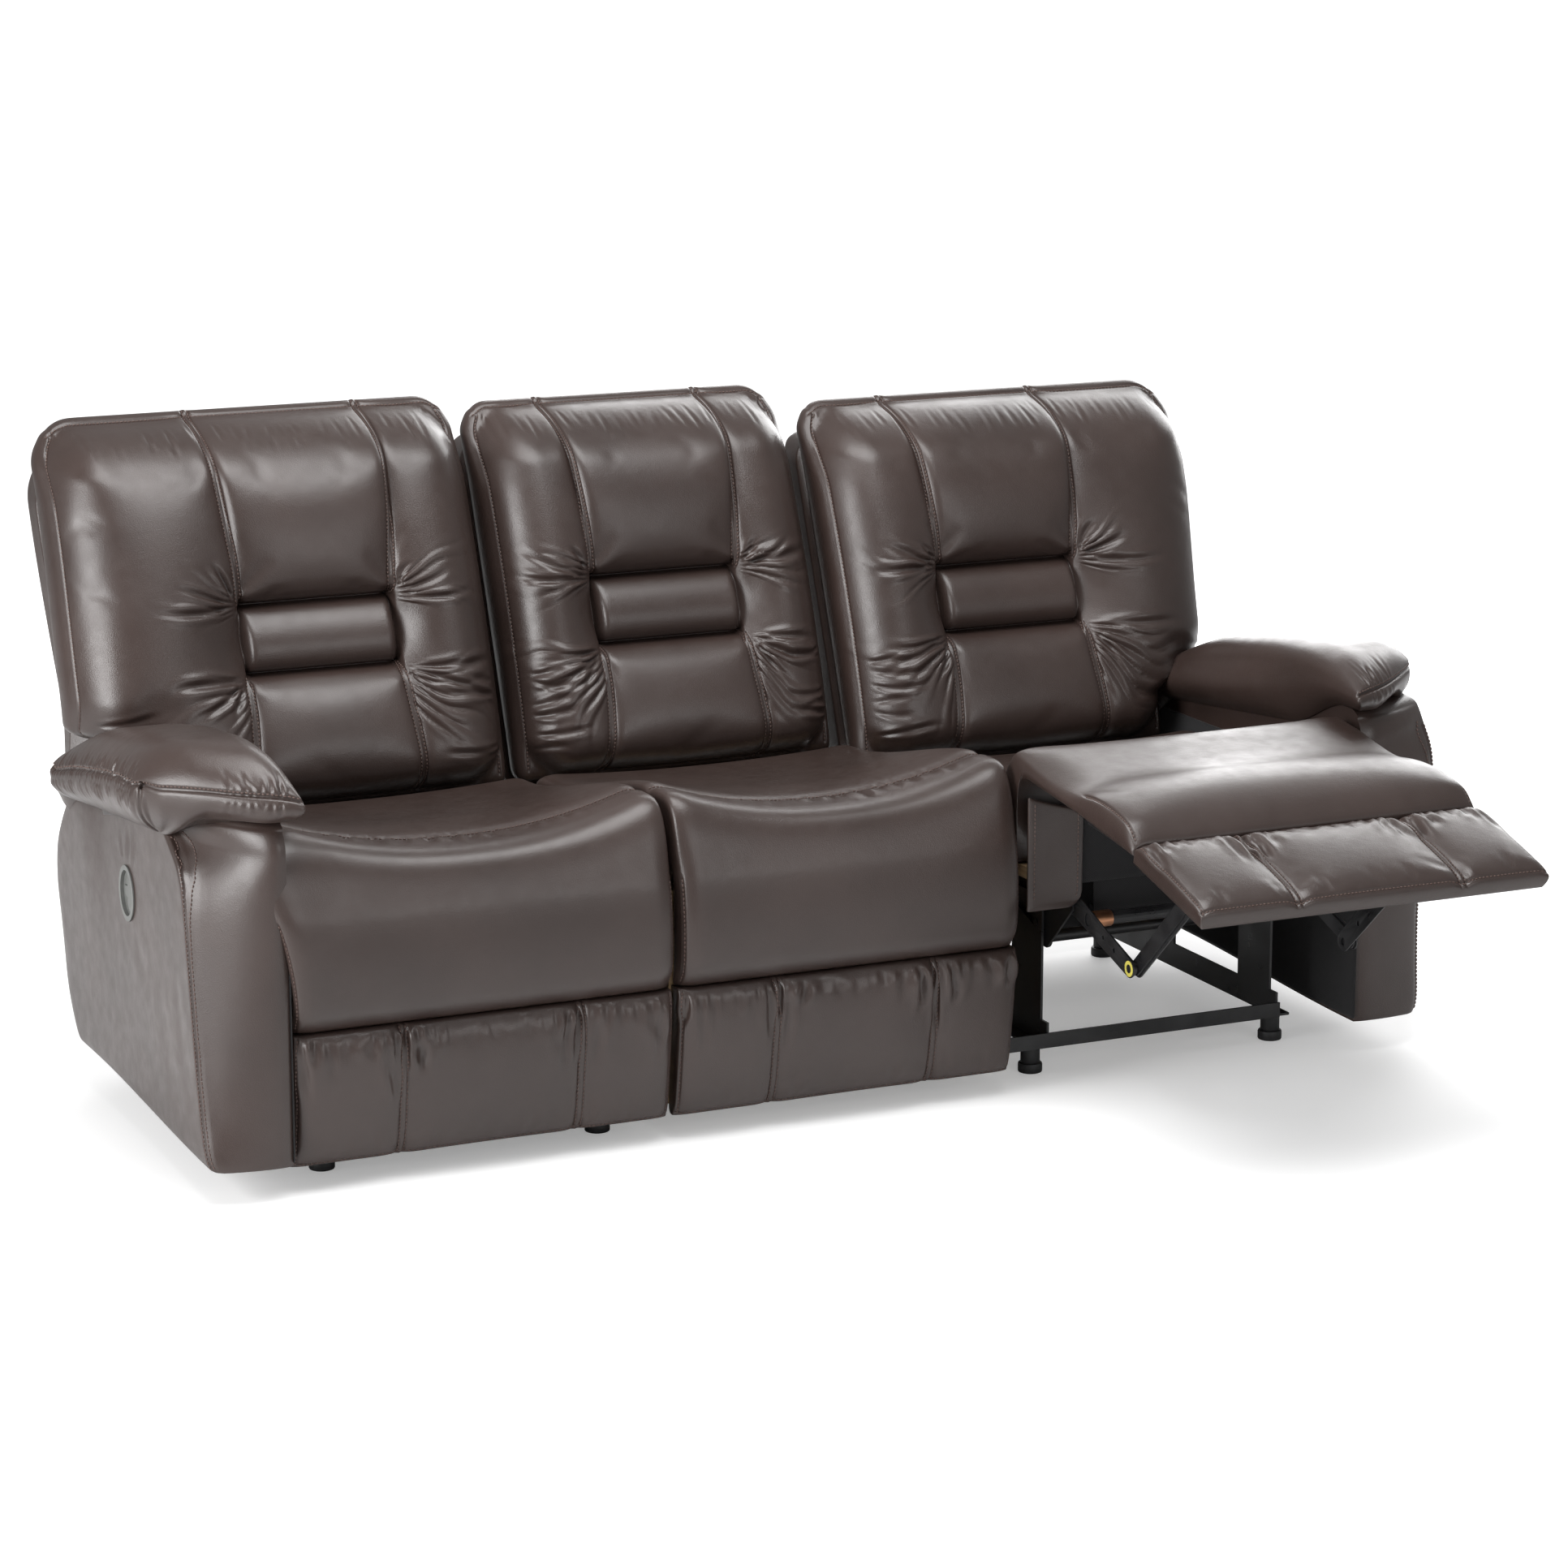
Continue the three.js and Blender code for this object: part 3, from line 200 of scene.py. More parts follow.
def to_frame(points):
    return points + np.array([0, ARM_FRONT, 0])


def travelled(points, word):
    """Moves a seat's points by its travel where the seat is open."""
    shift = np.array([0, SEAT_TRAVEL[0], SEAT_TRAVEL[1]]) * OPEN[word]
    return points + shift


def swung(y, z, turn):
    """Points of the folded footrest, swung out about its hinge."""
    hinge_y, hinge_z = FOOTREST_HINGE
    cos, sin = math.cos(-turn), math.sin(-turn)
    return (
        hinge_y + (y - hinge_y) * cos - (z - hinge_z) * sin,
        hinge_z + (y - hinge_y) * sin + (z - hinge_z) * cos,
    )


def ribbed(piece):
    """Closes the underside of a bent piece with faces that run from side to side."""
    pattern = pattern_of(piece)
    rim = np.abs(pattern[:, 2] - pattern[:, 2].min()) < 1e-5
    left = [i for i in np.argsort(pattern[:, 1]) if rim[i] and pattern[i, 0] < -0.9999]
    right = [i for i in np.argsort(pattern[:, 1]) if rim[i] and pattern[i, 0] > 0.9999]
    front = [i for i in np.argsort(pattern[:, 0]) if rim[i] and pattern[i, 1] < -0.9999]
    rear = [i for i in np.argsort(pattern[:, 0]) if rim[i] and pattern[i, 1] > 0.9999]
    shape = bmesh.new()
    shape.from_mesh(piece.data)
    shape.verts.ensure_lookup_table()
    faces = [front + [right[1], left[1]], rear + [right[-2], left[-2]]]
    for a, b, c, d in zip(left[1:-2], right[1:-2], right[2:-1], left[2:-1]):
        faces.append([a, b, c, d])
    for face in faces:
        shape.faces.new([shape.verts[int(i)] for i in face])
    bmesh.ops.recalc_face_normals(shape, faces=shape.faces)
    shape.to_mesh(piece.data)
    shape.free()


def finished(piece, levels=1, bent=False):
    """Smooths a moulded blank and closes its underside."""
    pick(piece)
    smoother = piece.modifiers.new("subdivision", "SUBSURF")
    smoother.levels = levels
    smoother.render_levels = levels
    bpy.ops.object.modifier_apply(modifier=smoother.name)
    if bent:
        ribbed(piece)
        bpy.ops.object.shade_smooth()
        return
    bpy.ops.object.mode_set(mode="EDIT")
    bpy.ops.mesh.select_mode(type="EDGE")
    bpy.ops.mesh.select_all(action="SELECT")
    bpy.ops.mesh.region_to_loop()
    bpy.ops.mesh.edge_face_add()
    bpy.ops.object.mode_set(mode="OBJECT")
    bpy.ops.object.shade_smooth()


def weighted(piece, name, weights):
    """Keeps a weight for each point under a name."""
    group = piece.vertex_groups.new(name=name)
    for index, weight in enumerate(weights):
        if weight > 0:
            group.add([index], float(weight), "REPLACE")


def puffed(piece, held, pressure, slack, cap=0.024, frames=18):
    """Fills a padded piece: its cloth, loose by its slack, is blown out from its held seams, and capped."""
    pick(piece)
    rest = places(piece)
    slack = slack + 0 * held
    weighted(piece, "held", held)
    weighted(piece, "slack", slack / slack.max())
    cloth = piece.modifiers.new("cloth", "CLOTH")
    settings = cloth.settings
    settings.vertex_group_mass = "held"
    settings.quality = 4
    settings.use_pressure = True
    settings.uniform_pressure_force = pressure
    settings.tension_stiffness = 14
    settings.compression_stiffness = 14
    settings.shear_stiffness = 4
    settings.bending_stiffness = 0.35
    settings.vertex_group_shrink = "slack"
    settings.shrink_min = 0
    settings.shrink_max = -float(slack.max())
    settings.effector_weights.gravity = 0
    cloth.collision_settings.use_collision = False
    cloth.point_cache.frame_start = 1
    cloth.point_cache.frame_end = frames
    for moment in range(1, frames + 1):
        bpy.context.scene.frame_set(moment)
    bpy.ops.object.modifier_apply(modifier=cloth.name)
    bpy.context.scene.frame_set(1)
    moved = places(piece) - rest
    length = np.maximum(np.linalg.norm(moved, axis=1), 1e-9)
    held_back = cap * np.tanh(length / cap) / length
    set_places(piece, rest + moved * held_back[:, None])
    piece.vertex_groups.clear()


# Materials

def shader(name, colour, roughness, metallic=0.0, specular=0.5):
    material = bpy.data.materials.new(name)
    material.use_nodes = True
    surface = material.node_tree.nodes["Principled BSDF"]
    surface.inputs["Base Color"].default_value = (*colour, 1)
    surface.inputs["Roughness"].default_value = roughness
    surface.inputs["Metallic"].default_value = metallic
    surface.inputs["Specular IOR Level"].default_value = specular
    return material, material.node_tree.nodes, material.node_tree.links, surface


def grain(nodes, links, scale, detail=4.0):
    """Noise on the object's own coordinates."""
    place = nodes.new("ShaderNodeTexCoord")
    noise = nodes.new("ShaderNodeTexNoise")
    noise.inputs["Scale"].default_value = scale
    noise.inputs["Detail"].default_value = detail
    links.new(place.outputs["Object"], noise.inputs["Vector"])
    return noise


def ramp(nodes, links, source, low, high, start=0.3, end=0.7):
    colours = nodes.new("ShaderNodeValToRGB")
    colours.color_ramp.elements[0].position = start
    colours.color_ramp.elements[0].color = (*low, 1)
    colours.color_ramp.elements[1].position = end
    colours.color_ramp.elements[1].color = (*high, 1)
    links.new(source, colours.inputs["Fac"])
    return colours


def ranged(nodes, links, source, low, high):
    limits = nodes.new("ShaderNodeMapRange")
    limits.inputs["From Min"].default_value = 0.3
    limits.inputs["From Max"].default_value = 0.7
    limits.inputs["To Min"].default_value = low
    limits.inputs["To Max"].default_value = high
    links.new(source, limits.inputs["Value"])
    return limits.outputs["Result"]


def bumped(nodes, links, surface, height, strength, distance, under=None):
    bump = nodes.new("ShaderNodeBump")
    bump.inputs["Strength"].default_value = strength
    bump.inputs["Distance"].default_value = distance
    links.new(height, bump.inputs["Height"])
    if under:
        links.new(under.outputs["Normal"], bump.inputs["Normal"])
    links.new(bump.outputs["Normal"], surface.inputs["Normal"])
    return bump


def leather_material(name, dark, light):
    material, nodes, links, surface = shader(name, mix(np.array(dark), np.array(light), 0.5), 0.37)
    tone = grain(nodes, links, 5)
    colours = ramp(nodes, links, tone.outputs["Fac"], dark, light)
    links.new(colours.outputs["Color"], surface.inputs["Base Color"])
    worn = grain(nodes, links, 38, 6)
    links.new(ranged(nodes, links, worn.outputs["Fac"], 0.31, 0.41), surface.inputs["Roughness"])
    creases = grain(nodes, links, 95, 3)
    low = bumped(nodes, links, surface, creases.outputs["Fac"], 0.16, 0.0012)
    place = nodes.new("ShaderNodeTexCoord")
    pebbles = nodes.new("ShaderNodeTexVoronoi")
    pebbles.inputs["Scale"].default_value = 620
    links.new(place.outputs["Object"], pebbles.inputs["Vector"])
    bumped(nodes, links, surface, pebbles.outputs["Distance"], 0.32, 0.0005, low)
    surface.inputs["Coat Weight"].default_value = 0.15
    surface.inputs["Coat Roughness"].default_value = 0.24
    return material


def thread_material():
    material, nodes, links, surface = shader("thread", (0.085, 0.053, 0.043), 0.6)
    twist = grain(nodes, links, 900, 1)
    colours = ramp(nodes, links, twist.outputs["Fac"], (0.055, 0.033, 0.027), (0.115, 0.072, 0.060))
    links.new(colours.outputs["Color"], surface.inputs["Base Color"])
    return material


def cloth_material(name, low, high):
    material, nodes, links, surface = shader(name, low, 0.9, specular=0.2)
    place = nodes.new("ShaderNodeTexCoord")
    weave = nodes.new("ShaderNodeTexWave")
    weave.bands_direction = "DIAGONAL"
    weave.inputs["Scale"].default_value = 260
    weave.inputs["Distortion"].default_value = 2.5
    links.new(place.outputs["Object"], weave.inputs["Vector"])
    colours = ramp(nodes, links, weave.outputs["Fac"], low, high, 0.1, 0.9)
    links.new(colours.outputs["Color"], surface.inputs["Base Color"])
    bumped(nodes, links, surface, weave.outputs["Fac"], 0.35, 0.0004)
    surface.inputs["Sheen Weight"].default_value = 0.15
    return material


def steel_material():
    material, nodes, links, surface = shader("black_paint", (0.012, 0.012, 0.013), 0.34)
    orange_peel = grain(nodes, links, 420, 2)
    scuffs = grain(nodes, links, 24, 8)
    links.new(ranged(nodes, links, scuffs.outputs["Fac"], 0.26, 0.44), surface.inputs["Roughness"])
    colours = ramp(nodes, links, scuffs.outputs["Fac"], (0.009, 0.009, 0.010), (0.020, 0.020, 0.021))
    links.new(colours.outputs["Color"], surface.inputs["Base Color"])
    bumped(nodes, links, surface, orange_peel.outputs["Fac"], 0.12, 0.0004)
    return material


def plastic_material(name, colour, roughness):
    material, nodes, links, surface = shader(name, colour, roughness)
    spark = grain(nodes, links, 1300, 2)
    broad = grain(nodes, links, 30, 3)
    low = tuple(0.86 * value for value in colour)
    high = tuple(1.12 * value for value in colour)
    colours = ramp(nodes, links, broad.outputs["Fac"], low, high)
    links.new(colours.outputs["Color"], surface.inputs["Base Color"])
    bumped(nodes, links, surface, spark.outputs["Fac"], 0.25, 0.0002)
    return material


def metal_material(name, colour, roughness):
    material, nodes, links, surface = shader(name, colour, roughness, metallic=1.0)
    scuffs = grain(nodes, links, 55, 6)
    links.new(ranged(nodes, links, scuffs.outputs["Fac"], roughness - 0.06, roughness + 0.10), surface.inputs["Roughness"])
    low = tuple(0.75 * value for value in colour)
    colours = ramp(nodes, links, scuffs.outputs["Fac"], low, colour)
    links.new(colours.outputs["Color"], surface.inputs["Base Color"])
    return material


def timber_material():
    material, nodes, links, surface = shader("board", (0.36, 0.24, 0.13), 0.75)
    place = nodes.new("ShaderNodeTexCoord")
    stretch = nodes.new("ShaderNodeMapping")
    stretch.inputs["Scale"].default_value = (60, 4, 60)
    fibres = nodes.new("ShaderNodeTexNoise")
    fibres.inputs["Scale"].default_value = 2
    fibres.inputs["Detail"].default_value = 6
    links.new(place.outputs["Object"], stretch.inputs["Vector"])
    links.new(stretch.outputs["Vector"], fibres.inputs["Vector"])
    colours = ramp(nodes, links, fibres.outputs["Fac"], (0.24, 0.15, 0.075), (0.42, 0.29, 0.16))
    links.new(colours.outputs["Color"], surface.inputs["Base Color"])
    bumped(nodes, links, surface, fibres.outputs["Fac"], 0.2, 0.0006)
    return material


LEATHER = leather_material("leather", (0.0300, 0.0190, 0.0160), (0.0430, 0.0280, 0.0240))
THREAD = thread_material()
LINING = cloth_material("lining", (0.010, 0.010, 0.011), (0.026, 0.025, 0.026))
BLACK_PAINT = steel_material()
BLACK_PLASTIC = plastic_material("black_plastic", (0.014, 0.014, 0.015), 0.5)
GREY_PLASTIC = plastic_material("grey_plastic", (0.115, 0.118, 0.112), 0.42)
BOARD = timber_material()
COPPER = metal_material("copper", (0.55, 0.27, 0.15), 0.32)
NYLON = plastic_material("nylon", (0.55, 0.48, 0.09), 0.5)

SLOT_MATERIALS = {
    "leather": LEATHER,
    "timber": BOARD,
    "dust_cloth": LINING,
    "black_steel": BLACK_PAINT,
    "black_plastic": BLACK_PLASTIC,
    "grey_plastic": GREY_PLASTIC,
}


def dress(piece, material):
    piece.data.materials.clear()
    piece.data.materials.append(material)


for row in frame["record"]["subparts"]:
    node = frame["nodes"][row["node"]]
    for place in node.material_slots:
        place.material = SLOT_MATERIALS[row["material_slot"]]


# Stitching and wrinkles

STITCH_PITCH = 0.0064
STITCH_LENGTH = 0.0052
STITCH_RADIUS = 0.0013
TWIN_HALF = 0.0052
EDGE_STITCH = 0.007
SEAM_GATHER = 0.78
ROW_GROOVE = (0.0020, 0.0020)
SEAM_RIDGE = (0.0032, -0.0013)
OVER_EDGE = 1.2
WRINKLE_SEEDS = {"left": 11, "centre": 23, "right": 37}


def surface_grid(piece):
    """Places and normals of a padded piece, by column and row; rows above 1 run on over its far edge."""
    pattern = pattern_of(piece)
    past_edge = (pattern[:, 1] > 0.999) & (pattern[:, 2] > -2.1)
    on_sheet = (np.abs(pattern[:, 2]) < 1e-6) | past_edge
    u = np.round(pattern[on_sheet, 0], 5)
    v = np.round(pattern[on_sheet, 1] - 0.1 * pattern[on_sheet, 2], 5)
    columns = np.unique(u)
    rows = np.unique(v)
    i = np.searchsorted(columns, u)
    j = np.searchsorted(rows, v)
    spots = np.zeros((len(columns), len(rows), 3))
    outward = np.zeros_like(spots)
    spots[i, j] = places(piece)[on_sheet]
    outward[i, j] = normals_of(piece)[on_sheet]
    return columns, rows, spots, outward


def seam_line(piece, along, at, low, high, offset):
    """The points beside a seam at a column or row of the blank, offset to one side along the surface."""
    columns, rows, spots, outward = surface_grid(piece)
    if along == "row":
        columns, rows = rows, columns
        spots = spots.transpose(1, 0, 2)
        outward = outward.transpose(1, 0, 2)
    seam = int(np.argmin(np.abs(columns - at)))
    wanted = [j for j in range(len(rows)) if low <= rows[j] <= high]
    points, normals = [], []
    for j in wanted:
        steps = np.linalg.norm(np.diff(spots[:, j], axis=0), axis=1)
        travel = np.concatenate([[0], np.cumsum(steps)])
        place = np.interp(travel[seam] + offset, travel, np.arange(len(columns)))
        first = int(min(max(math.floor(place), 0), len(columns) - 2))
        share = place - first
        points.append(mix(spots[first, j], spots[first + 1, j], share))
        normals.append(mix(outward[first, j], outward[first + 1, j], share))
    return np.array(points), np.array(normals)


def on_surface(piece, path, toward, spacing=0.005):
    """The points where lines through a path, cast in one direction, meet a piece, with its normals there."""
    path = np.array(path, float)
    steps = np.linalg.norm(np.diff(path, axis=0), axis=1)
    travel = np.concatenate([[0], np.cumsum(steps)])
    stops = np.linspace(0, travel[-1], max(3, int(travel[-1] / spacing)))
    spots = np.stack([np.interp(stops, travel, path[:, axis]) for axis in range(3)], axis=1)
    toward = Vector(toward).normalized()
    points, normals = [], []
    for spot in spots:
        met, place, normal, _ = piece.ray_cast(Vector(spot) - toward * 0.12, toward)
        if met:
            points.append(np.array(place))
            normals.append(np.array(normal))
    return np.array(points), np.array(normals)


def grooved(piece, points, width, depth):
    """Presses a groove along a line of points into a piece."""
    spots = places(piece)
    outward = normals_of(piece)
    margin = 4 * width
    inside = (spots > points.min(axis=0) - margin) & (spots < points.max(axis=0) + margin)
    near = np.nonzero(inside.all(axis=1))[0]
    beside = spots[near]
    nearest = np.full(len(near), 1.0)
    for start, end in zip(points[:-1], points[1:]):
        way = end - start
        share = np.clip((beside - start) @ way / max(way @ way, 1e-12), 0, 1)
        nearest = np.minimum(nearest, np.linalg.norm(beside - start - share[:, None] * way, axis=1))
    spots[near] = beside - outward[near] * (depth * bell(nearest, width))[:, None]
    set_places(piece, spots)


def sewn(piece, lines):
    """Presses a groove along each line beside a seam, then lays a row of stitches in it."""
    for along, at, low, high, offset in lines:
        if offset > 0 and along == "column" and abs(at) < 0.99:
            middle, _ = seam_line(piece, along, at, low, high, 0)
            grooved(piece, middle, *SEAM_RIDGE)
        points, _ = seam_line(piece, along, at, low, high, offset)
        grooved(piece, points, *ROW_GROOVE)
    return [stitch_row(*seam_line(piece, *line)) for line in lines]


def stitch_row(points, normals, lift=0.0003):
    """The stitches of a row along a line on a surface: their middles, directions and normals."""
    points = points + normals * lift
    steps = np.linalg.norm(np.diff(points, axis=0), axis=1)
    travel = np.concatenate([[0], np.cumsum(steps)])
    count = max(2, int(travel[-1] / STITCH_PITCH))
    stops = (np.arange(count) + 0.5) * travel[-1] / count
    half = STITCH_LENGTH / 2
    middle = np.stack([np.interp(stops, travel, points[:, axis]) for axis in range(3)], axis=1)
    ahead = np.stack([np.interp(stops + half, travel, points[:, axis]) for axis in range(3)], axis=1)
    behind = np.stack([np.interp(stops - half, travel, points[:, axis]) for axis in range(3)], axis=1)
    up = np.stack([np.interp(stops, travel, normals[:, axis]) for axis in range(3)], axis=1)
    return middle, ahead - behind, up


def stitch_shape():
    """One stitch lying along X."""
    start_clean()
    bpy.ops.mesh.primitive_uv_sphere_add(segments=6, ring_count=5, radius=1, location=(0, 0, 0))
    stitch = bpy.context.object
    bpy.ops.transform.rotate(value=math.pi / 2, orient_axis="Y", center_override=(0, 0, 0))
    bpy.ops.object.transform_apply(location=False, rotation=True, scale=False)
    shape = places(stitch)
    faces = [tuple(face.vertices) for face in stitch.data.polygons]
    bpy.data.objects.remove(stitch)
    return shape, faces


STITCH = stitch_shape()


def stitched(name, rows, body):
    """Sews rows of stitches as one piece of thread, which rides on a body."""
    shape, faces = STITCH
    points, polygons = [], []
    for middle, along, up in rows:
        for spot, way, rise in zip(middle, along, up):
            way = way / max(np.linalg.norm(way), 1e-9)
            rise = rise - way * np.dot(rise, way)
            rise = rise / max(np.linalg.norm(rise), 1e-9)
            across = np.cross(rise, way)
            basis = np.stack([way * STITCH_LENGTH / 2, across * STITCH_RADIUS, rise * STITCH_RADIUS])
            start = len(points) * len(shape)
            points.append(shape @ basis + spot)
            polygons.extend(tuple(start + corner for corner in face) for face in faces)
    mesh = bpy.data.meshes.new(name)
    mesh.from_pydata(np.concatenate(points).tolist(), [], polygons)
    piece = bpy.data.objects.new(name, mesh)
    bpy.context.collection.objects.link(piece)
    pick(piece)
    bpy.ops.object.shade_smooth()
    dress(piece, THREAD)
    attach(piece, body)
    return piece


def creased(piece, strokes, flat, facing=None):
    """Presses wrinkles into a piece: each stroke runs from point to point of a flat plan, bowed sideways."""
    points = places(piece)
    outward = normals_of(piece)
    push = np.zeros(len(points))
    for x0, z0, x1, z1, width, depth, bow in strokes:
        start = np.array([x0, z0])
        way = np.array([x1, z1]) - start
        length = np.linalg.norm(way)
        sideways = np.array([-way[1], way[0]]) / length
        along = (flat - start) @ way / length**2
        off = (flat - start) @ sideways - bow * 4 * np.clip(along, 0, 1) * (1 - np.clip(along, 0, 1))
        taper = ease(along / 0.18) * ease((1.0 - along) / 0.45)
        narrow = width * (0.6 + 0.4 * ease(along / 0.5))
        ridges = 0.6 * (bell(off - 1.7 * narrow, 1.1 * narrow) + bell(off + 1.7 * narrow, 1.1 * narrow))
        push += depth * taper * (ridges - bell(off, narrow))
    if facing is not None:
        push *= ease((outward @ np.array(facing) - 0.1) / 0.4)
    set_places(piece, points + outward * push[:, None])


# Back cushions

BACK_THICK = 0.126
SEAM_FLARE_UP = 0.014
SEAM_FLARE_DOWN = 0.012
BACK_COLUMNS = (17, 26, 17)
END_COLUMNS = (17, 26, 22)
BACK_ROWS = (20, 14, 28)
BACK_LAYERS = 5
PERIMETER_INSET = 0.012
PERIMETER_DROP = (0.070, 0.098)
EDGE_ROUND = 0.086
CORNER_REACH = 0.098
CORNER_ROUND = {"left": 0.062, "centre": 0.046, "right": 0.056}
WING_THIN = 0.055
TUCK_DEPTH = 0.046
TUCK_ROUND = 0.024
ROLL_PROUD = 0.004
SEAM_DEPTH = 0.007
SEAM_REACH = 0.008


def back_plane(z):
    return BACK_FOOT[0] + BACK_LEAN * (z - BACK_FOOT[1])


def seam_half(z, top):
    """Half the distance between the two seams of a back at a height."""
    above = ease((z - LUMBAR_HIGH) / (top - LUMBAR_HIGH))
    below = ease((LUMBAR_LOW - z) / (LUMBAR_LOW - BACK_BOTTOM))
    return LUMBAR_HALF + SEAM_FLARE_UP * above + SEAM_FLARE_DOWN * below


def back_depth(across, z, top):
    """How far the face of a back stands out from its board, before it is filled."""
    half = seam_half(z, top)
    off = np.abs(across) - half
    roll = (z - LUMBAR_LOW) / (LUMBAR_HIGH - LUMBAR_LOW)
    low_share = np.clip((LUMBAR_LOW - z) / (LUMBAR_LOW - BACK_BOTTOM), 0, 1)
    high_share = np.clip((z - LUMBAR_HIGH) / (top - LUMBAR_HIGH), 0, 1)
    whole = np.clip((z - BACK_BOTTOM) / (top - BACK_BOTTOM), 0, 1)
    lower = 0.018 * np.sin(np.pi * low_share) ** 0.7
    head = 0.032 * np.sin(np.pi * high_share**1.2)
    from_tuck = np.where(roll < 0.5, LUMBAR_LOW - z, z - LUMBAR_HIGH)
    fold = TUCK_DEPTH * (1 - round_off(np.maximum(from_tuck, 0), TUCK_ROUND))
    panels = (lower + head) * mix(0.72, 1.0, round_off(np.maximum(-off, 0), 0.05)) - fold
    bow = np.sqrt(np.clip(1 - (2 * roll - 1) ** 2, 0, 1)) ** 0.7
    roll_ends = 0.030 * (1 - round_off(np.maximum(-off, 0), 0.016))
    roll_face = -TUCK_DEPTH + (TUCK_DEPTH + ROLL_PROUD) * bow - roll_ends * bow
    in_roll = (roll > 0) & (roll < 1)
    middle = np.where(in_roll, roll_face, panels)
    side = 0.028 * np.sin(np.pi * whole) ** 0.6 * mix(0.62, 1.0, round_off(np.maximum(off, 0), 0.085))
    side = side - 0.034 * bell(off, 0.045) * bell(roll - 0.5, 0.75)
    return BACK_THICK + np.where(off > 0, side, middle) - SEAM_DEPTH * bell(off, SEAM_REACH)


def rounded_corners(x, z, low_x, high_x, top, low_radius, high_radius):
    """Draws the top corners of a sheet in to quarter rounds."""
    for edge, radius, way in ((low_x, low_radius, -1), (high_x, high_radius, 1)):
        a = np.clip((way * (x - edge) + radius) / radius, 0, 1)
        b = np.clip((z - top + radius) / radius, 0, 1)
        inside = (a > 0) & (b > 0)
        new_x = edge + way * radius * (a * np.sqrt(1 - b * b / 2) - 1)
        new_z = top + radius * (b * np.sqrt(1 - a * a / 2) - 1)
        x = np.where(inside, new_x, x)
        z = np.where(inside, new_z, z)
    return x, z


def wing_line(word, z):
    """Outer side of an end back at a height, above its arm."""
    if word == "centre":
        return CENTRE_HALF - BACK_GAP + 0 * z
    return mix(WING_LOW[word], WING_OUTER, ease((z - 0.60) / 0.32))


def back_extent(word):
    """Centre line, inner side, outer side, outer side below the wing, and top of a back."""
    if word == "centre":
        outer = CENTRE_HALF - BACK_GAP
        return 0.0, -outer, outer, outer, BACK_TOP[word] - 0.004
    return LUMBAR_CENTRE, CENTRE_HALF + BACK_GAP, WING_OUTER, WING_START, BACK_TOP[word] - 0.004


def back_form(word):
    """The form of one back cushion: its face, the band round it and its back against the board."""
    centre, inner, outer, low_outer, top = back_extent(word)
    columns = BACK_COLUMNS if word == "centre" else END_COLUMNS
    side = SIDE[word]

    def form(u, v, w):
        rows = [BACK_BOTTOM, LUMBAR_LOW, LUMBAR_HIGH, top - PERIMETER_INSET]
        z = stations((v + 1) / 2, rows, BACK_ROWS, 0.6)
        even = mix(rows[0], rows[-1], (v + 1) / 2)
        for _ in range(2):
            half = seam_half(z, top)
            outer_here = mix(low_outer, wing_line(word, z), ease((z - WING_BOTTOM) / (WING_TOP - WING_BOTTOM)))
            low_x = inner + PERIMETER_INSET + 0 * z
            high_x = outer_here - PERIMETER_INSET
            x = stations((u + 1) / 2, [low_x, centre - half, centre + half, high_x], columns, SEAM_GATHER)
            beside = ease((np.abs(x - centre) - half - 0.004) / 0.05)
            z = mix(stations((v + 1) / 2, rows, BACK_ROWS, 0.6), even, beside)
        corner_round = CORNER_ROUND["centre"] * 0.9
        x, z = rounded_corners(x, z, low_x, high_x, top - PERIMETER_INSET, corner_round, CORNER_ROUND[word])
        depth = back_depth(x - centre, z, top)
        if word != "centre":
            depth = depth - WING_THIN * ease((x - WING_START + 0.01) / 0.04) * (1 - ease((z - WING_BOTTOM) / 0.11))
        to_side = np.minimum(x - low_x, high_x - x) + PERIMETER_INSET
        to_end = np.minimum(z - BACK_BOTTOM, top - PERIMETER_INSET - z) + PERIMETER_INSET
        corner = np.hypot(np.maximum(CORNER_REACH - to_side, 0), np.maximum(CORNER_REACH - to_end, 0))
        near = np.minimum(np.minimum(to_side, to_end), np.maximum(CORNER_REACH - corner, 0) + 0.35 * PERIMETER_INSET)
        edge = round_off(np.maximum(near, PERIMETER_INSET), EDGE_ROUND)
        drop = mix(PERIMETER_DROP[0], PERIMETER_DROP[1], ease((z - top + 0.13) / 0.09))
        face = depth - drop * (1 - edge) / (1 - round_off(PERIMETER_INSET, EDGE_ROUND))
        band = w / BACK_LAYERS
        bulge = PERIMETER_INSET * np.sin(np.pi * np.clip(band * 1.1, 0, 1)) ** 0.6
        out_x = np.clip((x - centre) / (outer - inner) * 4, -1, 1) * (np.abs(u) > 0.999)
        out_z = np.where(v > 0.999, 1.0, np.where(v < -0.999, -0.6, 0.0))
        size = np.maximum(np.hypot(out_x, out_z), 1e-6)
        x = x + bulge * out_x / size
        z = z + bulge * out_z / size
        depth_here = mix(face, 0.001, ease(band) ** 0.8)
        y = back_plane(z) - depth_here
        return to_frame(travelled(stack(side * x, y, z), word))

    return form, columns


def column_at(columns, index):
    return -1 + 2 * sum(columns[:index]) / sum(columns)


FAN_STRENGTH = {"left": (1.0, 0.55), "centre": (1.0, 1.0), "right": (0.9, 1.1)}
FANS = ((LUMBAR_HIGH + 0.002, 9, 30, 6, 0.200), (LUMBAR_LOW - 0.002, -30, 40, 8, 0.250))
FAN_DEPTH = 0.0056
FAN_BEHIND = 0.026


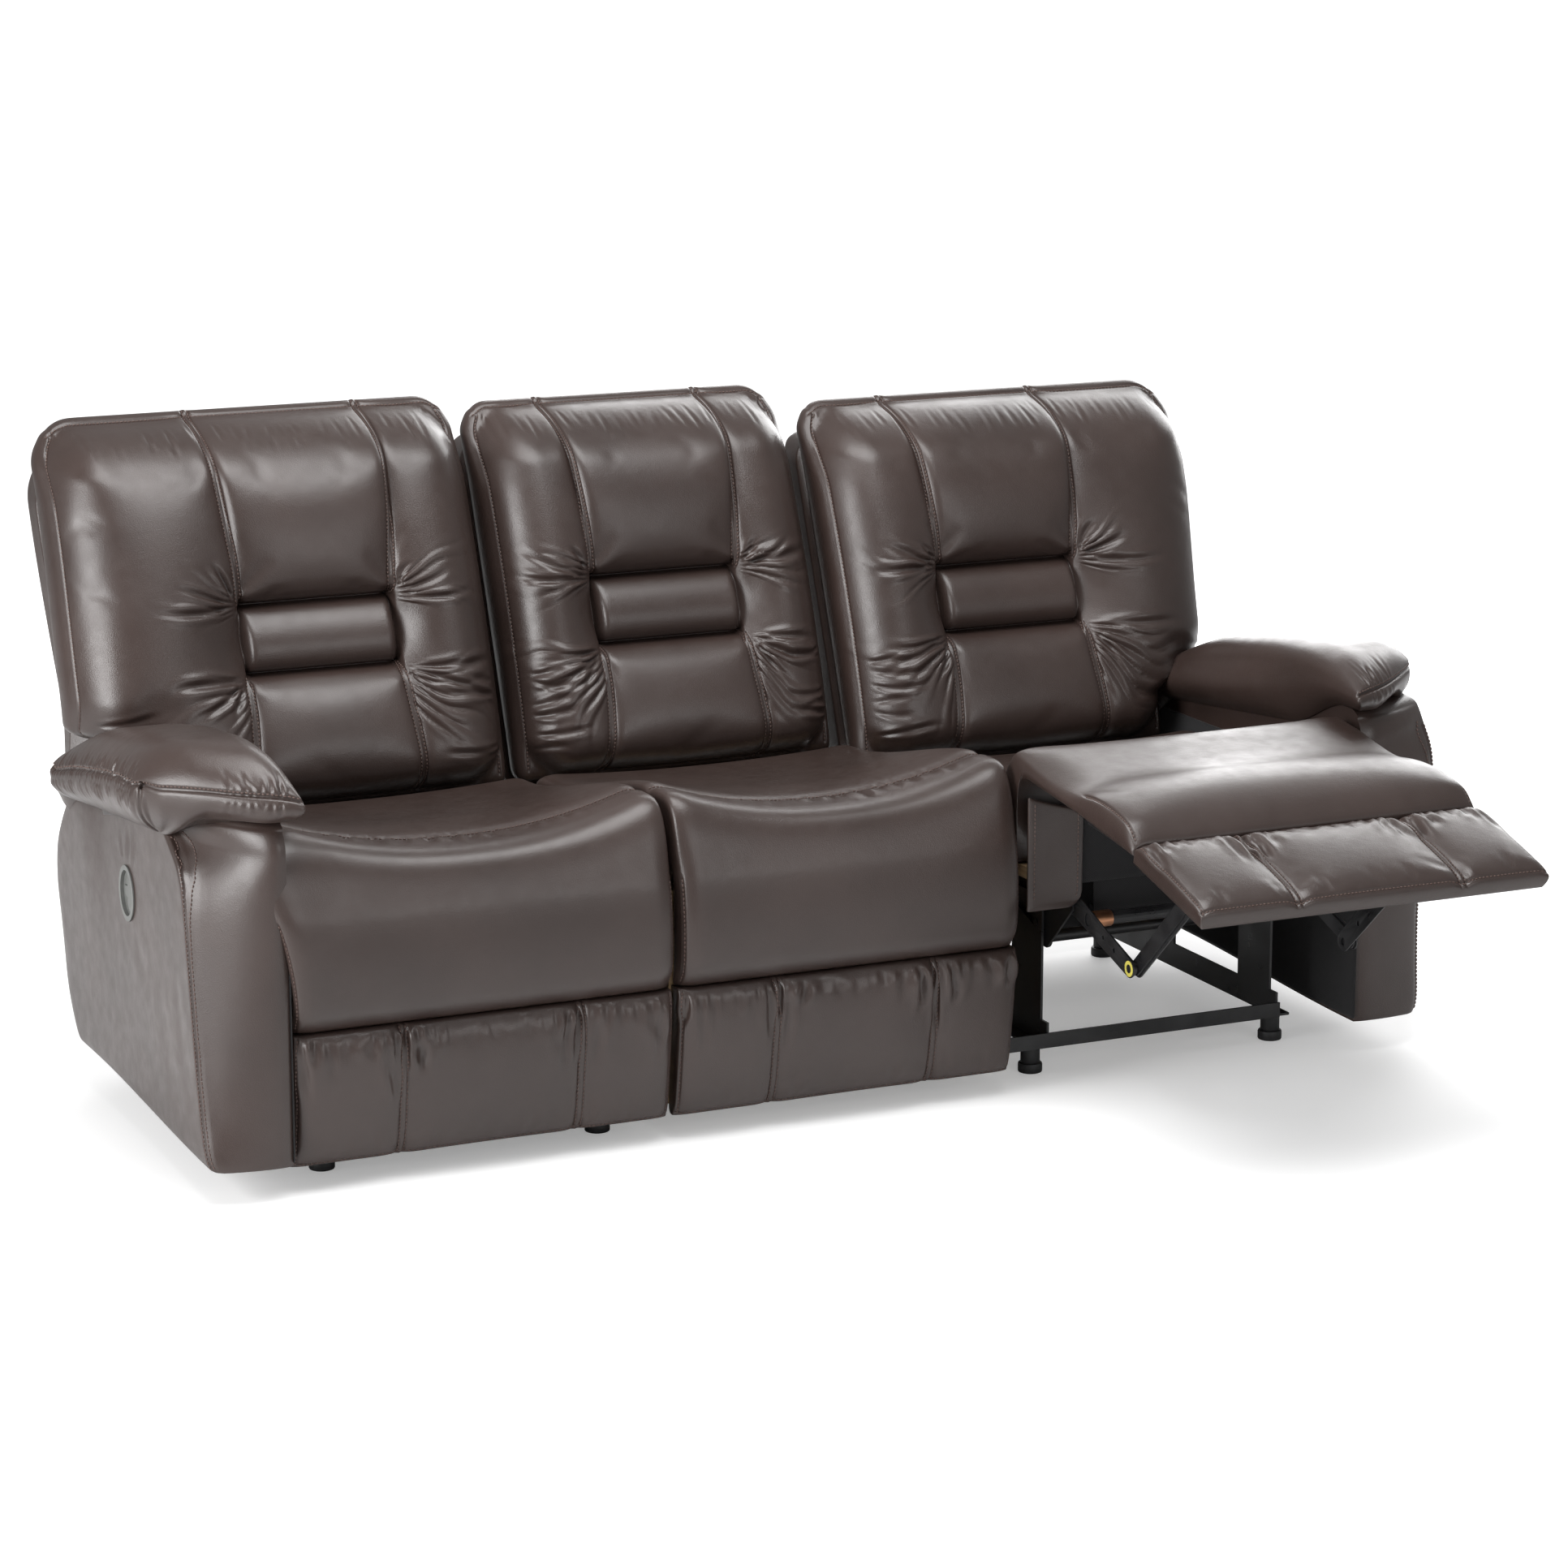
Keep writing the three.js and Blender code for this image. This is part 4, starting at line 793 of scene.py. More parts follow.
def back_wrinkles(word, chance):
    """A few long wrinkles from the ends of the lumbar roll, and short ones along the edges."""
    centre, inner, outer, low_outer, top = back_extent(word)
    strokes = []
    for way in (-1, 1):
        edge = inner if way < 0 else outer
        for height, up in ((LUMBAR_HIGH + 0.004, 1), (LUMBAR_LOW - 0.004, -1)):
            start_x = centre + way * (LUMBAR_HALF + 0.006)
            for turn in (3, 24, 58):
                angle = math.radians(turn + chance.uniform(-5, 5))
                reach = mix(0.150, 0.055, turn / 64) * chance.uniform(0.70, 1.15)
                reach = min(reach, abs(edge - start_x) / math.cos(angle) - 0.02)
                gap = chance.uniform(0.004, 0.016)
                x0 = start_x + way * gap * math.cos(angle)
                z0 = height + up * gap * math.sin(angle)
                x1 = x0 + way * reach * math.cos(angle)
                z1 = z0 + up * reach * math.sin(angle)
                width = chance.uniform(0.0045, 0.0070)
                depth = chance.uniform(0.0028, 0.0048)
                strokes.append((x0, z0, x1, z1, width, depth, chance.uniform(-0.008, 0.008)))
        for _ in range(6):
            z0 = chance.uniform(0.47, 0.60)
            x0 = edge - way * 0.022
            x1 = x0 - way * chance.uniform(0.05, 0.12)
            tilt = chance.uniform(0.000, 0.030)
            depth = chance.uniform(0.0014, 0.0028)
            strokes.append((x0, z0, x1, z0 + tilt, 0.0055, depth, chance.uniform(-0.008, 0.008)))
    for share in np.linspace(0.06, 0.94, 22):
        x0 = mix(inner, outer, share + chance.uniform(-0.02, 0.02))
        z0 = top - 0.016
        z1 = z0 - chance.uniform(0.020, 0.045)
        strokes.append((x0, z0, x0 + chance.uniform(-0.01, 0.01), z1, 0.004, chance.uniform(0.0006, 0.0014), 0))
    return strokes


def fanned(piece, word, flat, chance):
    """Presses the folds that spread from the four ends of the lumbar roll over the side panels."""
    centre, inner, outer, low_outer, top = back_extent(word)
    points = places(piece)
    outward = normals_of(piece)
    push = np.zeros(len(points))
    for way, strength in zip((-1, 1), FAN_STRENGTH[word]):
        for height, heading, spread, folds, reach in FANS:
            across = way * (flat[:, 0] - centre) - LUMBAR_HALF + FAN_BEHIND
            up = flat[:, 1] - height
            away = np.hypot(across, up)
            bend = 0.30 * np.sin(away * chance.uniform(22, 34) + chance.uniform(0, 6))
            turn = (np.degrees(np.arctan2(up, across)) - heading) / spread + bend * away / reach
            phase = chance.uniform(0, 1)
            count = (turn + 1) / 2 * folds + phase
            wander = 0.22 * np.sin(away * 70 + 2 * np.floor(count))
            lengths = chance.uniform(0.45, 1.0, folds + 4)
            own = reach * lengths[np.clip(np.floor(count), 0, folds + 3).astype(int)]
            crest = np.abs(np.sin(np.pi * (count + wander * np.clip(away / reach, 0, 1)))) ** 0.8 - 0.5
            fade = ease((away - 0.030) / 0.030) * (1 - ease((away - 0.30 * own) / (0.70 * own)))
            fade = fade * ease((1 - np.abs(turn)) / 0.30) * ease((across - 0.028) / 0.010)
            push += strength * FAN_DEPTH * fade * crest
    push *= ease((-outward[:, 1] - 0.1) / 0.4)
    set_places(piece, points + outward * push[:, None])


def back_cushion(word):
    form, columns = back_form(word)
    body = "frame" if word == "centre" else f"{word}_back"
    piece = blank(f"{word}_back_pillow", sum(columns), sum(BACK_ROWS), BACK_LAYERS)
    mould(piece, form)
    pattern = pattern_of(piece)
    seams = [column_at(columns, 1), column_at(columns, 2)]
    tucks = [column_at(BACK_ROWS, 1), column_at(BACK_ROWS, 2)]
    between = (pattern[:, 0] > seams[0] - 1e-4) & (pattern[:, 0] < seams[1] + 1e-4)
    in_roll = between & (pattern[:, 1] > tucks[0] - 1e-4) & (pattern[:, 1] < tucks[1] + 1e-4)
    on_seam = np.min([np.abs(pattern[:, 0] - at) for at in seams], axis=0) < 1e-4
    on_tuck = (np.min([np.abs(pattern[:, 1] - at) for at in tucks], axis=0) < 1e-4) & between
    face = pattern[:, 2] > -0.5
    held = np.where(face & (on_seam | on_tuck), 1.0, 0.0)
    held = np.maximum(held, np.where(face & in_roll, 0.5, 0.0))
    held = np.maximum(held, np.clip((-pattern[:, 2] - 1) / 2, 0, 1))
    edge = (np.abs(pattern[:, 2]) < 0.5) & ((np.abs(pattern[:, 0]) > 0.999) | (np.abs(pattern[:, 1]) > 0.999))
    held = np.maximum(held, np.where(edge, 0.6, 0))
    near_roll = bell(pattern[:, 1] - sum(tucks) / 2, 0.62)
    slack = np.where(between, 0.004, mix(0.030, 0.095, near_roll))
    puffed(piece, held, 3.4, slack)
    finished(piece, levels=2)
    flat = places(piece) - travelled(np.zeros((1, 3)), word)
    flat = np.stack([SIDE[word] * flat[:, 0], flat[:, 2]], axis=1)
    chance = np.random.default_rng(WRINKLE_SEEDS[word])
    fanned(piece, word, flat, chance)
    creased(piece, back_wrinkles(word, chance), flat, (0, -1, 0))
    dress(piece, LEATHER)
    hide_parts(f"{word}_back_cushion")
    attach(piece, body)
    lines = []
    for at in seams:
        for low, high in ((-1, tucks[0]), (tucks[1], OVER_EDGE)):
            lines.extend(("column", at, low, high, offset) for offset in (-TWIN_HALF, TWIN_HALF))
    lines.extend([("column", -1, -0.96, 1, EDGE_STITCH), ("column", 1, -0.96, 1, -EDGE_STITCH)])
    lines.append(("row", 1, -1, 1, EDGE_STITCH))
    rows = sewn(piece, lines)
    stitched(f"{word}_back_stitching", rows, body)


# Seats with their chaise fronts

SEAT_REAR = 0.590
SEAT_UNDER = 0.387
CROSS_SEAM = 0.130
CROSS_TUCK = 0.007
ROLL_START = 0.070
PAD_TOP = 0.425
CREASE = (-0.003, 0.243)
PAD_THICK = 0.046
PAD_EDGE = 0.036
PAD_CROWN = 0.007
OPEN_CREST = (0.106, 0.566)
OPEN_FALL = 0.080
SEAT_ROWS = (14, 8, 12, 16)
SEAT_COLUMNS = 72
SEAT_LAYERS = 4
SEAT_SIDE_GAP = 0.004
CREST_SIDE = 0.538
CREST_MIDDLE = 0.486
REAR_SIDE = 0.452
REAR_MIDDLE = 0.440
FLARE_WIDTH = 0.044


def seat_height(share, y, open_share):
    """Height of the seat's top across its width and along its depth."""
    saddle = np.abs(share) ** 2.2
    crest = mix(CREST_MIDDLE, CREST_SIDE, saddle)
    rear = mix(REAR_MIDDLE, REAR_SIDE, saddle)
    back = ease((y - CROSS_SEAM) / (SEAT_REAR - CROSS_SEAM)) ** 0.8
    closed = mix(crest, rear, back) - CROSS_TUCK * bell(y - CROSS_SEAM, 0.010)
    fall = ease((y - OPEN_CREST[0]) / OPEN_FALL)
    return mix(closed, mix(OPEN_CREST[1] + 0 * y, np.minimum(closed, 0.47), fall), open_share)


def pad_front(share, z):
    """Depth of the chaise front's face at a height, folded."""
    along = (z - CREASE[1]) / (PAD_TOP - CREASE[1])
    bulge = 0.012 * np.sin(np.pi * np.clip(along, 0, 1)) ** 0.7
    tuck = 0.016 * bell(z - CREASE[1], 0.018)
    return CREASE[0] + 0.004 * along - bulge + tuck


def hermite(p0, t0, p1, t1, share):
    s2, s3 = share**2, share**3
    return (
        (2 * s3 - 3 * s2 + 1) * p0 + (s3 - 2 * s2 + share) * t0 + (3 * s2 - 2 * s3) * p1 + (s3 - s2) * t1
    )


def seat_extent(word):
    centre = 0.0 if word == "centre" else BAY_CENTRE
    half = (CENTRE_HALF if word == "centre" else END_WIDTH / 2) - SEAT_SIDE_GAP
    return centre, half


def seat_form(word):
    centre, half = seat_extent(word)
    side = SIDE[word]
    turn = FOOTREST_SWING * OPEN[word]
    pad_rows, roll_rows, strip_rows, seat_rows = SEAT_ROWS
    total = sum(SEAT_ROWS)

    def section(share, v):
        """Top and bottom of the seat at a share of its half width and a row of the blank."""
        row = (v + 1) / 2 * total
        pad = np.clip(row / pad_rows, 0, 1)
        roll = np.clip((row - pad_rows) / roll_rows, 0, 1)
        strip = np.clip((row - pad_rows - roll_rows) / strip_rows, 0, 1)
        seat = np.clip((row - pad_rows - roll_rows - strip_rows) / seat_rows, 0, 1)
        pad_z = mix(CREASE[1], PAD_TOP, pad)
        pad_y = pad_front(share, pad_z)
        top_y, top_z = swung(pad_y, pad_z, turn)
        under_y, under_z = swung(pad_y * 0 + CREASE[0] + PAD_EDGE, pad_z, turn)
        end_y, end_z = swung(pad_front(share, PAD_TOP + 0 * share), PAD_TOP, turn)
        before_y, before_z = swung(pad_front(share, PAD_TOP - 0.01 + 0 * share), PAD_TOP - 0.01, turn)
        way = np.hypot(end_y - before_y, end_z - before_z)
        reach = mix(0.17, 0.15, OPEN[word])
        out_y, out_z = (end_y - before_y) / way * reach, (end_z - before_z) / way * reach
        roll_start = mix(ROLL_START, OPEN_CREST[0], OPEN[word])
        start_z = seat_height(share, roll_start, OPEN[word])
        roll_y = hermite(end_y, out_y, roll_start, mix(0.13, 0.16, OPEN[word]), roll)
        roll_z = hermite(end_z, out_z, start_z, mix(0.006, 0.010, OPEN[word]), roll)
        low_end_y, low_end_z = swung(CREASE[0] + PAD_EDGE, PAD_TOP - 0.01, turn)
        to_knee = np.clip(roll / 0.75, 0, 1)
        knee = mix(np.array([0.080, 0.0]), np.array([roll_start - 0.012, 0.0]), OPEN[word])[0]
        knee_z = mix(SEAT_UNDER + 0 * start_z, start_z - 0.034, OPEN[word])
        past_knee = np.clip((roll - 0.75) / 0.25, 0, 1)
        roll_low_y = mix(low_end_y, knee, to_knee)
        roll_low_z = mix(mix(low_end_z, knee_z, to_knee), SEAT_UNDER, past_knee)
        strip_stops = [roll_start, max(CROSS_SEAM, roll_start + 0.03), 0.21]
        strip_y = stations(strip, strip_stops, (6, 6), 0.5)
        seat_y = mix(0.21, SEAT_REAR, seat)
        flat_y = np.where(seat > 0, seat_y, strip_y)
        flat_z = seat_height(share, flat_y, OPEN[word])
        on_pad = row <= pad_rows
        on_roll = (row > pad_rows) & (row <= pad_rows + roll_rows)
        y = np.where(on_pad, top_y, np.where(on_roll, roll_y, flat_y))
        z = np.where(on_pad, top_z, np.where(on_roll, roll_z, flat_z))
        low_y = np.where(on_pad, under_y, np.where(on_roll, roll_low_y, np.maximum(flat_y, 0.085)))
        low_z = np.where(on_pad, under_z, np.where(on_roll, roll_low_z, SEAT_UNDER))
        crown = PAD_CROWN * OPEN[word] * ease(pad / 0.5) * ease((1 - roll) / 0.9)
        return y, z, low_y, low_z, crown, row

    def form(u, v, w):
        share = np.sin(u * np.pi / 2 * 0.86) / np.sin(np.pi / 2 * 0.86)
        y, z, low_y, low_z, crown, row = section(share, v)
        from_side = (1 - np.abs(share)) * half
        lift = crown * (1 - np.abs(share) ** 2.4)
        dip = mix(0.020, 0.011, OPEN[word]) * (1 - round_off(from_side, 0.034)) - lift
        inward_y = low_y - y
        inward_z = low_z - z
        deep = np.maximum(np.hypot(inward_y, inward_z), 1e-6)
        y = y + inward_y / deep * dip
        z = z + inward_z / deep * dip
        band = w / SEAT_LAYERS
        at_side = np.abs(u) > 0.999
        bulge = np.where(at_side, 0.003 * np.sin(np.pi * band), 0)
        x = centre + share * (half - 0.002) + np.sign(u) * bulge
        if word != "centre":
            rise = np.clip(row / 17, 0, 1) ** 2.0 * ease((23 - row) / 6)
            spread = FLARE_WIDTH * rise * ease((share - 0.72) / 0.28) * (1 - OPEN[word])
            x = x + spread * np.clip(1 - 5 * band, 0, 1)
            y = y - 0.35 * spread * np.clip(1 - 5 * band, 0, 1)
        y = mix(y, low_y, band)
        z = mix(z, low_z, band)
        return to_frame(travelled(stack(side * x, y, z), word))

    return form


def pucker_strokes(word, chance):
    """Short pulls across the seam behind the front roll."""
    centre, half = seat_extent(word)
    strokes = []
    for share in np.linspace(-0.72, 0.82, 22):
        share = share + chance.uniform(-0.035, 0.035)
        strong = mix(0.35, 1.0, ease((share + 0.6) / 0.9)) * mix(1.0, 0.4, ease((share - 0.55) / 0.3))
        x = centre + share * half
        slant = mix(0.004, 0.020, ease((share + 0.5) / 1.2)) * chance.uniform(0.5, 1.5)
        front = CROSS_SEAM - chance.uniform(0.028, 0.062)
        depth = strong * chance.uniform(0.0012, 0.0046)
        strokes.append((x, CROSS_SEAM + 0.004, x + slant, front, chance.uniform(0.0055, 0.0085), depth, 0.004))
        if chance.uniform() < 0.6:
            rear = CROSS_SEAM + chance.uniform(0.015, 0.035)
            strokes.append((x, CROSS_SEAM - 0.004, x - slant / 2, rear, 0.004, depth * 0.6, 0))
    return strokes


def seat_cover(word):
    centre, half = seat_extent(word)
    side = SIDE[word]
    piece = blank(f"{word}_seat_cover", SEAT_COLUMNS, sum(SEAT_ROWS), SEAT_LAYERS)
    mould(piece, seat_form(word))
    pattern = pattern_of(piece)
    total = sum(SEAT_ROWS)
    row = (pattern[:, 1] + 1) / 2 * total
    cross_row = SEAT_ROWS[0] + SEAT_ROWS[1] + SEAT_ROWS[2] / 2
    face = pattern[:, 2] > -0.5
    on_cross = face & (np.abs(row - cross_row) < 0.1)
    held = np.where(on_cross, 1.0, 0.0)
    held = np.maximum(held, np.where(face & (row < 0.1), 1.0, 0.0))
    held = np.maximum(held, np.clip((-pattern[:, 2] - 0.5) / 1.5, 0, 1))
    edge = face & (np.abs(pattern[:, 0]) > 0.999)
    held = np.maximum(held, np.where(edge, 0.8, 0))
    held = np.maximum(held, np.where(face & (row > total - 3), 0.8, 0))
    near_cross = bell(row - cross_row, 4.0)
    slack = mix(0.012, 0.07, near_cross) + 0.03 * OPEN[word] * (row < SEAT_ROWS[0])
    puffed(piece, held, 2.6, slack, cap=mix(0.016, 0.008, OPEN[word]))
    finished(piece, bent=True)
    flat = places(piece) - to_frame(travelled(np.zeros((1, 3)), word))
    above = flat[:, 2] > 0.30
    flat = np.stack([side * flat[:, 0], np.where(above, flat[:, 1], 9)], axis=1)
    if not OPEN[word]:
        creased(piece, pucker_strokes(word, np.random.default_rng(WRINKLE_SEEDS[word] + 1)), flat, (0, 0, 1))
    dress(piece, LEATHER)
    body = "frame" if word == "centre" else f"{word}_footrest"
    if word == "centre":
        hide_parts("centre_seat_cushion", "centre_front_upper_pad")
        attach(piece, "frame")
    else:
        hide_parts(f"{word}_seat_cushion", f"{word}_footrest_upper_pad")
        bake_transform(piece)
    pad_end = -1 + 2 * (SEAT_ROWS[0] - 1) / total
    lines = [("column", -1, -0.98, pad_end, 0.008), ("column", 1, -0.98, pad_end, -0.008)]
    stitched(f"{word}_pad_stitching", sewn(piece, lines), body)
    if word != "right":
        seam = -1 + 2 * cross_row / total
        rows = sewn(piece, [("row", seam, -0.97, 0.97, 0.006)])
        stitched(f"{word}_seat_stitching", rows, "frame" if word == "centre" else f"{word}_seat")


# Lower pads

LOWER_TIP = (0.022, 0.036)
LOWER_COLUMNS = (18, 28, 18)
LOWER_ROWS = 26
LOWER_LAYERS = 4
LOWER_SEAMS = (-0.44, 0.50)


def lower_stops(word):
    return sorted(SIDE[word] * value for value in LOWER_SEAMS)


def lower_plan(word, u, v):
    """Share of the half width and height, folded, of a place on the lower pad's blank."""
    stops = lower_stops(word)
    share = stations((u + 1) / 2, [-1, stops[0], stops[1], 1], LOWER_COLUMNS, SEAM_GATHER)
    along = stations((v + 1) / 2, [0.0, 1.0], (LOWER_ROWS,), 0.55)
    return share, along, mix(LOWER_TIP[1], CREASE[1] - 0.002, along)


def lower_form(word):
    centre, half = seat_extent(word)
    side = SIDE[word]
    turn = FOOTREST_SWING * OPEN[word]
    stops = lower_stops(word)

    def form(u, v, w):
        share, along, z = lower_plan(word, u, v)
        base = mix(LOWER_TIP[0], CREASE[0], along)
        off = np.minimum(np.abs(share - stops[0]), np.abs(share - stops[1])) * half
        length = CREASE[1] - LOWER_TIP[1]
        ends = round_off(np.minimum(along, 1 - along) * length + 0.003, 0.034)
        sides = round_off((1 - np.abs(share)) * half + 0.003, 0.030)
        slim = mix(1.0, 0.78, OPEN[word])
        depth = slim * (0.022 + 0.024 * ends * sides) - 0.007 * bell(off, 0.014)
        depth = depth + mix(0.007, 0.004, OPEN[word]) * np.sin(np.pi * along) * sides
        band = w / LOWER_LAYERS
        y = base + PAD_THICK - mix(depth, 0.001, band)
        x = centre + share * (half - 0.001 - 0.006 * band**2 * (1 - along))
        z = z + 0.006 * band**2 * (1 - along)
        y, z = swung(y, z, turn)
        return to_frame(travelled(stack(side * x, y, z), word))

    return form


def gather_strokes(word, chance):
    """Gathers that hang from the top edge of a lower pad, and a few that rise from its foot."""
    centre, half = seat_extent(word)
    stops = lower_stops(word)
    strokes = []
    for share in np.linspace(-0.95, 0.95, 34):
        share = share + chance.uniform(-0.02, 0.02)
        to_seam = min(abs(share - stops[0]), abs(share - stops[1]), 1 - abs(share))
        strong = mix(1.0, 0.35, ease(to_seam / 0.25))
        x = centre + share * half
        drop = mix(0.105, 0.040, ease(to_seam / 0.25)) * chance.uniform(0.6, 1.3)
        lean = chance.uniform(-0.016, 0.016)
        depth = strong * chance.uniform(0.0036, 0.0078)
        top = CREASE[1] - 0.006
        strokes.append((x, top, x + lean, top - drop, chance.uniform(0.0050, 0.0080), depth, 0.002))
    for share in np.linspace(-0.8, 0.8, 7):
        x = centre + (share + chance.uniform(-0.06, 0.06)) * half
        foot = LOWER_TIP[1] + 0.008
        strokes.append((x, foot, x + chance.uniform(-0.01, 0.01), foot + 0.05, 0.007, 0.0015, 0.002))
    return strokes


def lower_pad(word):
    centre, half = seat_extent(word)
    body = "frame" if word == "centre" else f"{word}_footrest"
    piece = blank(f"{word}_front_lower_cover", sum(LOWER_COLUMNS), LOWER_ROWS, LOWER_LAYERS)
    mould(piece, lower_form(word))
    pattern = pattern_of(piece)
    seams = [column_at(LOWER_COLUMNS, 1), column_at(LOWER_COLUMNS, 2)]
    on_seam = np.min([np.abs(pattern[:, 0] - at) for at in seams], axis=0) < 1e-4
    face = pattern[:, 2] > -0.5
    held = np.where(face & on_seam, 1.0, 0.0)
    held = np.maximum(held, np.clip((-pattern[:, 2] - 0.5) / 1.5, 0, 1))
    held = np.maximum(held, np.where(face & (pattern[:, 1] > 0.999), 1.0, 0))
    held = np.maximum(held, np.where(face & (np.abs(pattern[:, 0]) > 0.999), 0.6, 0))
    puffed(piece, held, 3.0, mix(0.02, 0.06, (pattern[:, 1] + 1) / 2), cap=0.012)
    finished(piece)
    pattern = pattern_of(piece)
    share, along, height = lower_plan(word, pattern[:, 0], pattern[:, 1])
    flat = np.stack([centre + share * half, np.where(pattern[:, 2] > -0.6, height, 9)], axis=1)
    creased(piece, gather_strokes(word, np.random.default_rng(WRINKLE_SEEDS[word] + 2)), flat)
    dress(piece, LEATHER)
    node = "centre_front_lower_pad" if word == "centre" else f"{word}_footrest_lower_pad"
    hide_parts(node)
    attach(piece, body)
    lines = [("column", at, -0.98, 0.98, offset) for at in seams for offset in (-TWIN_HALF, TWIN_HALF)]
    lines += [("column", -1, -0.95, 0.95, EDGE_STITCH), ("column", 1, -0.95, 0.95, -EDGE_STITCH)]
    lines.append(("row", -1, -0.97, 0.97, EDGE_STITCH))
    rows = sewn(piece, lines)
    stitched(f"{word}_front_stitching", rows, body)


# Arms

ARM_TOP_FRONT = 0.560
ARM_TOP_REAR = 0.505
ARM_SLOPE_END = 0.600
ARM_ROUND = 0.050
REAR_HEIGHTS = (0.050, 0.073, 0.100, 0.150, 0.316, 0.379, 0.417, 0.457, 0.505, 0.560)
REAR_DEPTHS = (0.650, 0.688, 0.712, 0.745, 0.773, 0.752, 0.714, 0.668, 0.602, 0.540)
FRONT_HEIGHTS = (0.050, 0.120, 0.218, 0.320, 0.400, 0.430, 0.459, 0.483, 0.500, 0.516, 0.560)
FRONT_DEPTHS = (0.012, 0.034, 0.054, 0.071, 0.084, 0.089, 0.095, 0.108, 0.132, 0.162, 0.204)
FRONT_LEAN = {"left": 1.0, "right": 0.30}
FRONT_FULLNESS = 1.9
ARM_SWELL = {"left": 0.010, "right": 0.032}
UNDER_FRONT = 0.050
UNDER_REAR = 0.070
ARM_COLUMNS = 64
ARM_ROWS = 44
ARM_LAYERS = 8
INNER_FACE = ARM_INNER + 0.0008
LINING_TOP = 0.445
LATCH = (0.376, 0.384)
LATCH_HALVES = (0.0352, 0.0412)
LATCH_DEPTH = 0.032
SEAM_HEIGHTS_ARM = (0.056, 0.12, 0.18, 0.24, 0.30, 0.35, 0.395, 0.430, 0.459, 0.483, 0.500, 0.516)
SEAM_BEHIND_EDGE = 0.005


def arm_top(y):
    return ARM_TOP_FRONT + (ARM_TOP_REAR - ARM_TOP_FRONT) * (np.clip(y, ARM_ROUND, 1) - ARM_ROUND) / (
        ARM_SLOPE_END - ARM_ROUND
    )


def arm_rear(z):
    """Depth of the arm's rounded rear edge at a height."""
    shifts = (-0.022, -0.011, 0, 0.011, 0.022)
    return sum(np.interp(z + shift, REAR_HEIGHTS, REAR_DEPTHS) for shift in shifts) / len(shifts)


def arm_ridge(y):
    """Height of the arm's top, which falls away behind."""
    return np.minimum(arm_top(y), np.interp(y, REAR_DEPTHS[:3:-1], REAR_HEIGHTS[:3:-1]))


def arm_plan(u, v, top_share=1.0):
    share_y = stations((u + 1) / 2, [0.0, 1.0], (ARM_COLUMNS,), 0.6)
    share_z = stations((v + 1) / 2, [0.0, 1.0], (ARM_ROWS,), 0.5) * top_share
    y = share_y * ARM_DEPTH
    for _ in range(4):
        low = mix(UNDER_FRONT, UNDER_REAR, ease(y / 0.6))
        z = mix(low, arm_top(y), share_z)
        y = share_y * arm_rear(z)
    return y, z, low


def front_set(word, z):
    """How far the arm's front leans back at its outer side."""
    shifts = (-0.010, 0, 0.010)
    depths = sum(np.interp(z + shift, FRONT_HEIGHTS, FRONT_DEPTHS) for shift in shifts) / len(shifts)
    return FRONT_LEAN[word] * depths


def arm_form(word):
    side = SIDE[word]

    def form(u, v, w):
        y, z, low = arm_plan(u, v)
        a = np.clip((ARM_ROUND - y) / ARM_ROUND, 0, 1)
        b = np.clip((z - ARM_TOP_FRONT + ARM_ROUND) / ARM_ROUND, 0, 1)
        corner = (a > 0) & (b > 0)
        y = np.where(corner, ARM_ROUND - ARM_ROUND * a * np.sqrt(1 - b * b / 2), y)
        z = np.where(corner, ARM_TOP_FRONT - ARM_ROUND + ARM_ROUND * b * np.sqrt(1 - a * a / 2), z)
        sweep = mix(0.012, 0.030, ease((z - 0.40) / 0.15))
        swept = sweep * (1 - round_off(np.maximum(y, 0), sweep))
        near = np.minimum(np.minimum(arm_rear(z) - y, z - low), arm_top(y) - z)
        soft = 0.010 * (1 - round_off(np.maximum(near, 0), 0.045))
        band = w / ARM_LAYERS
        x = mix(ARM_OUTER - swept - soft, INNER_FACE, band)
        crown = np.sin(np.pi * np.clip(band, 0, 1)) ** 0.8
        wrap = 0.006 * (1 - round_off((1 - band) * ARM_THICK, 0.010))
        y = y - np.where(u < -0.999, 0.004 * crown - wrap, 0) + np.where(u > 0.999, 0.002 * crown, 0)
        along = np.clip(y / ARM_DEPTH, 0, 1)
        swell = 1 - ease(y / 0.30) if word == "right" else ease((y - 0.42) / 0.15)
        x = x + ARM_SWELL[word] * bell(z - 0.47, 0.16) * swell * np.clip(1 - band, 0, 1) ** 1.5
        y = y + front_set(word, z) * (1 - along) * np.clip(1 - band, 0, 1) ** FRONT_FULLNESS
        return to_frame(stack(side * x, y, z))

    return form


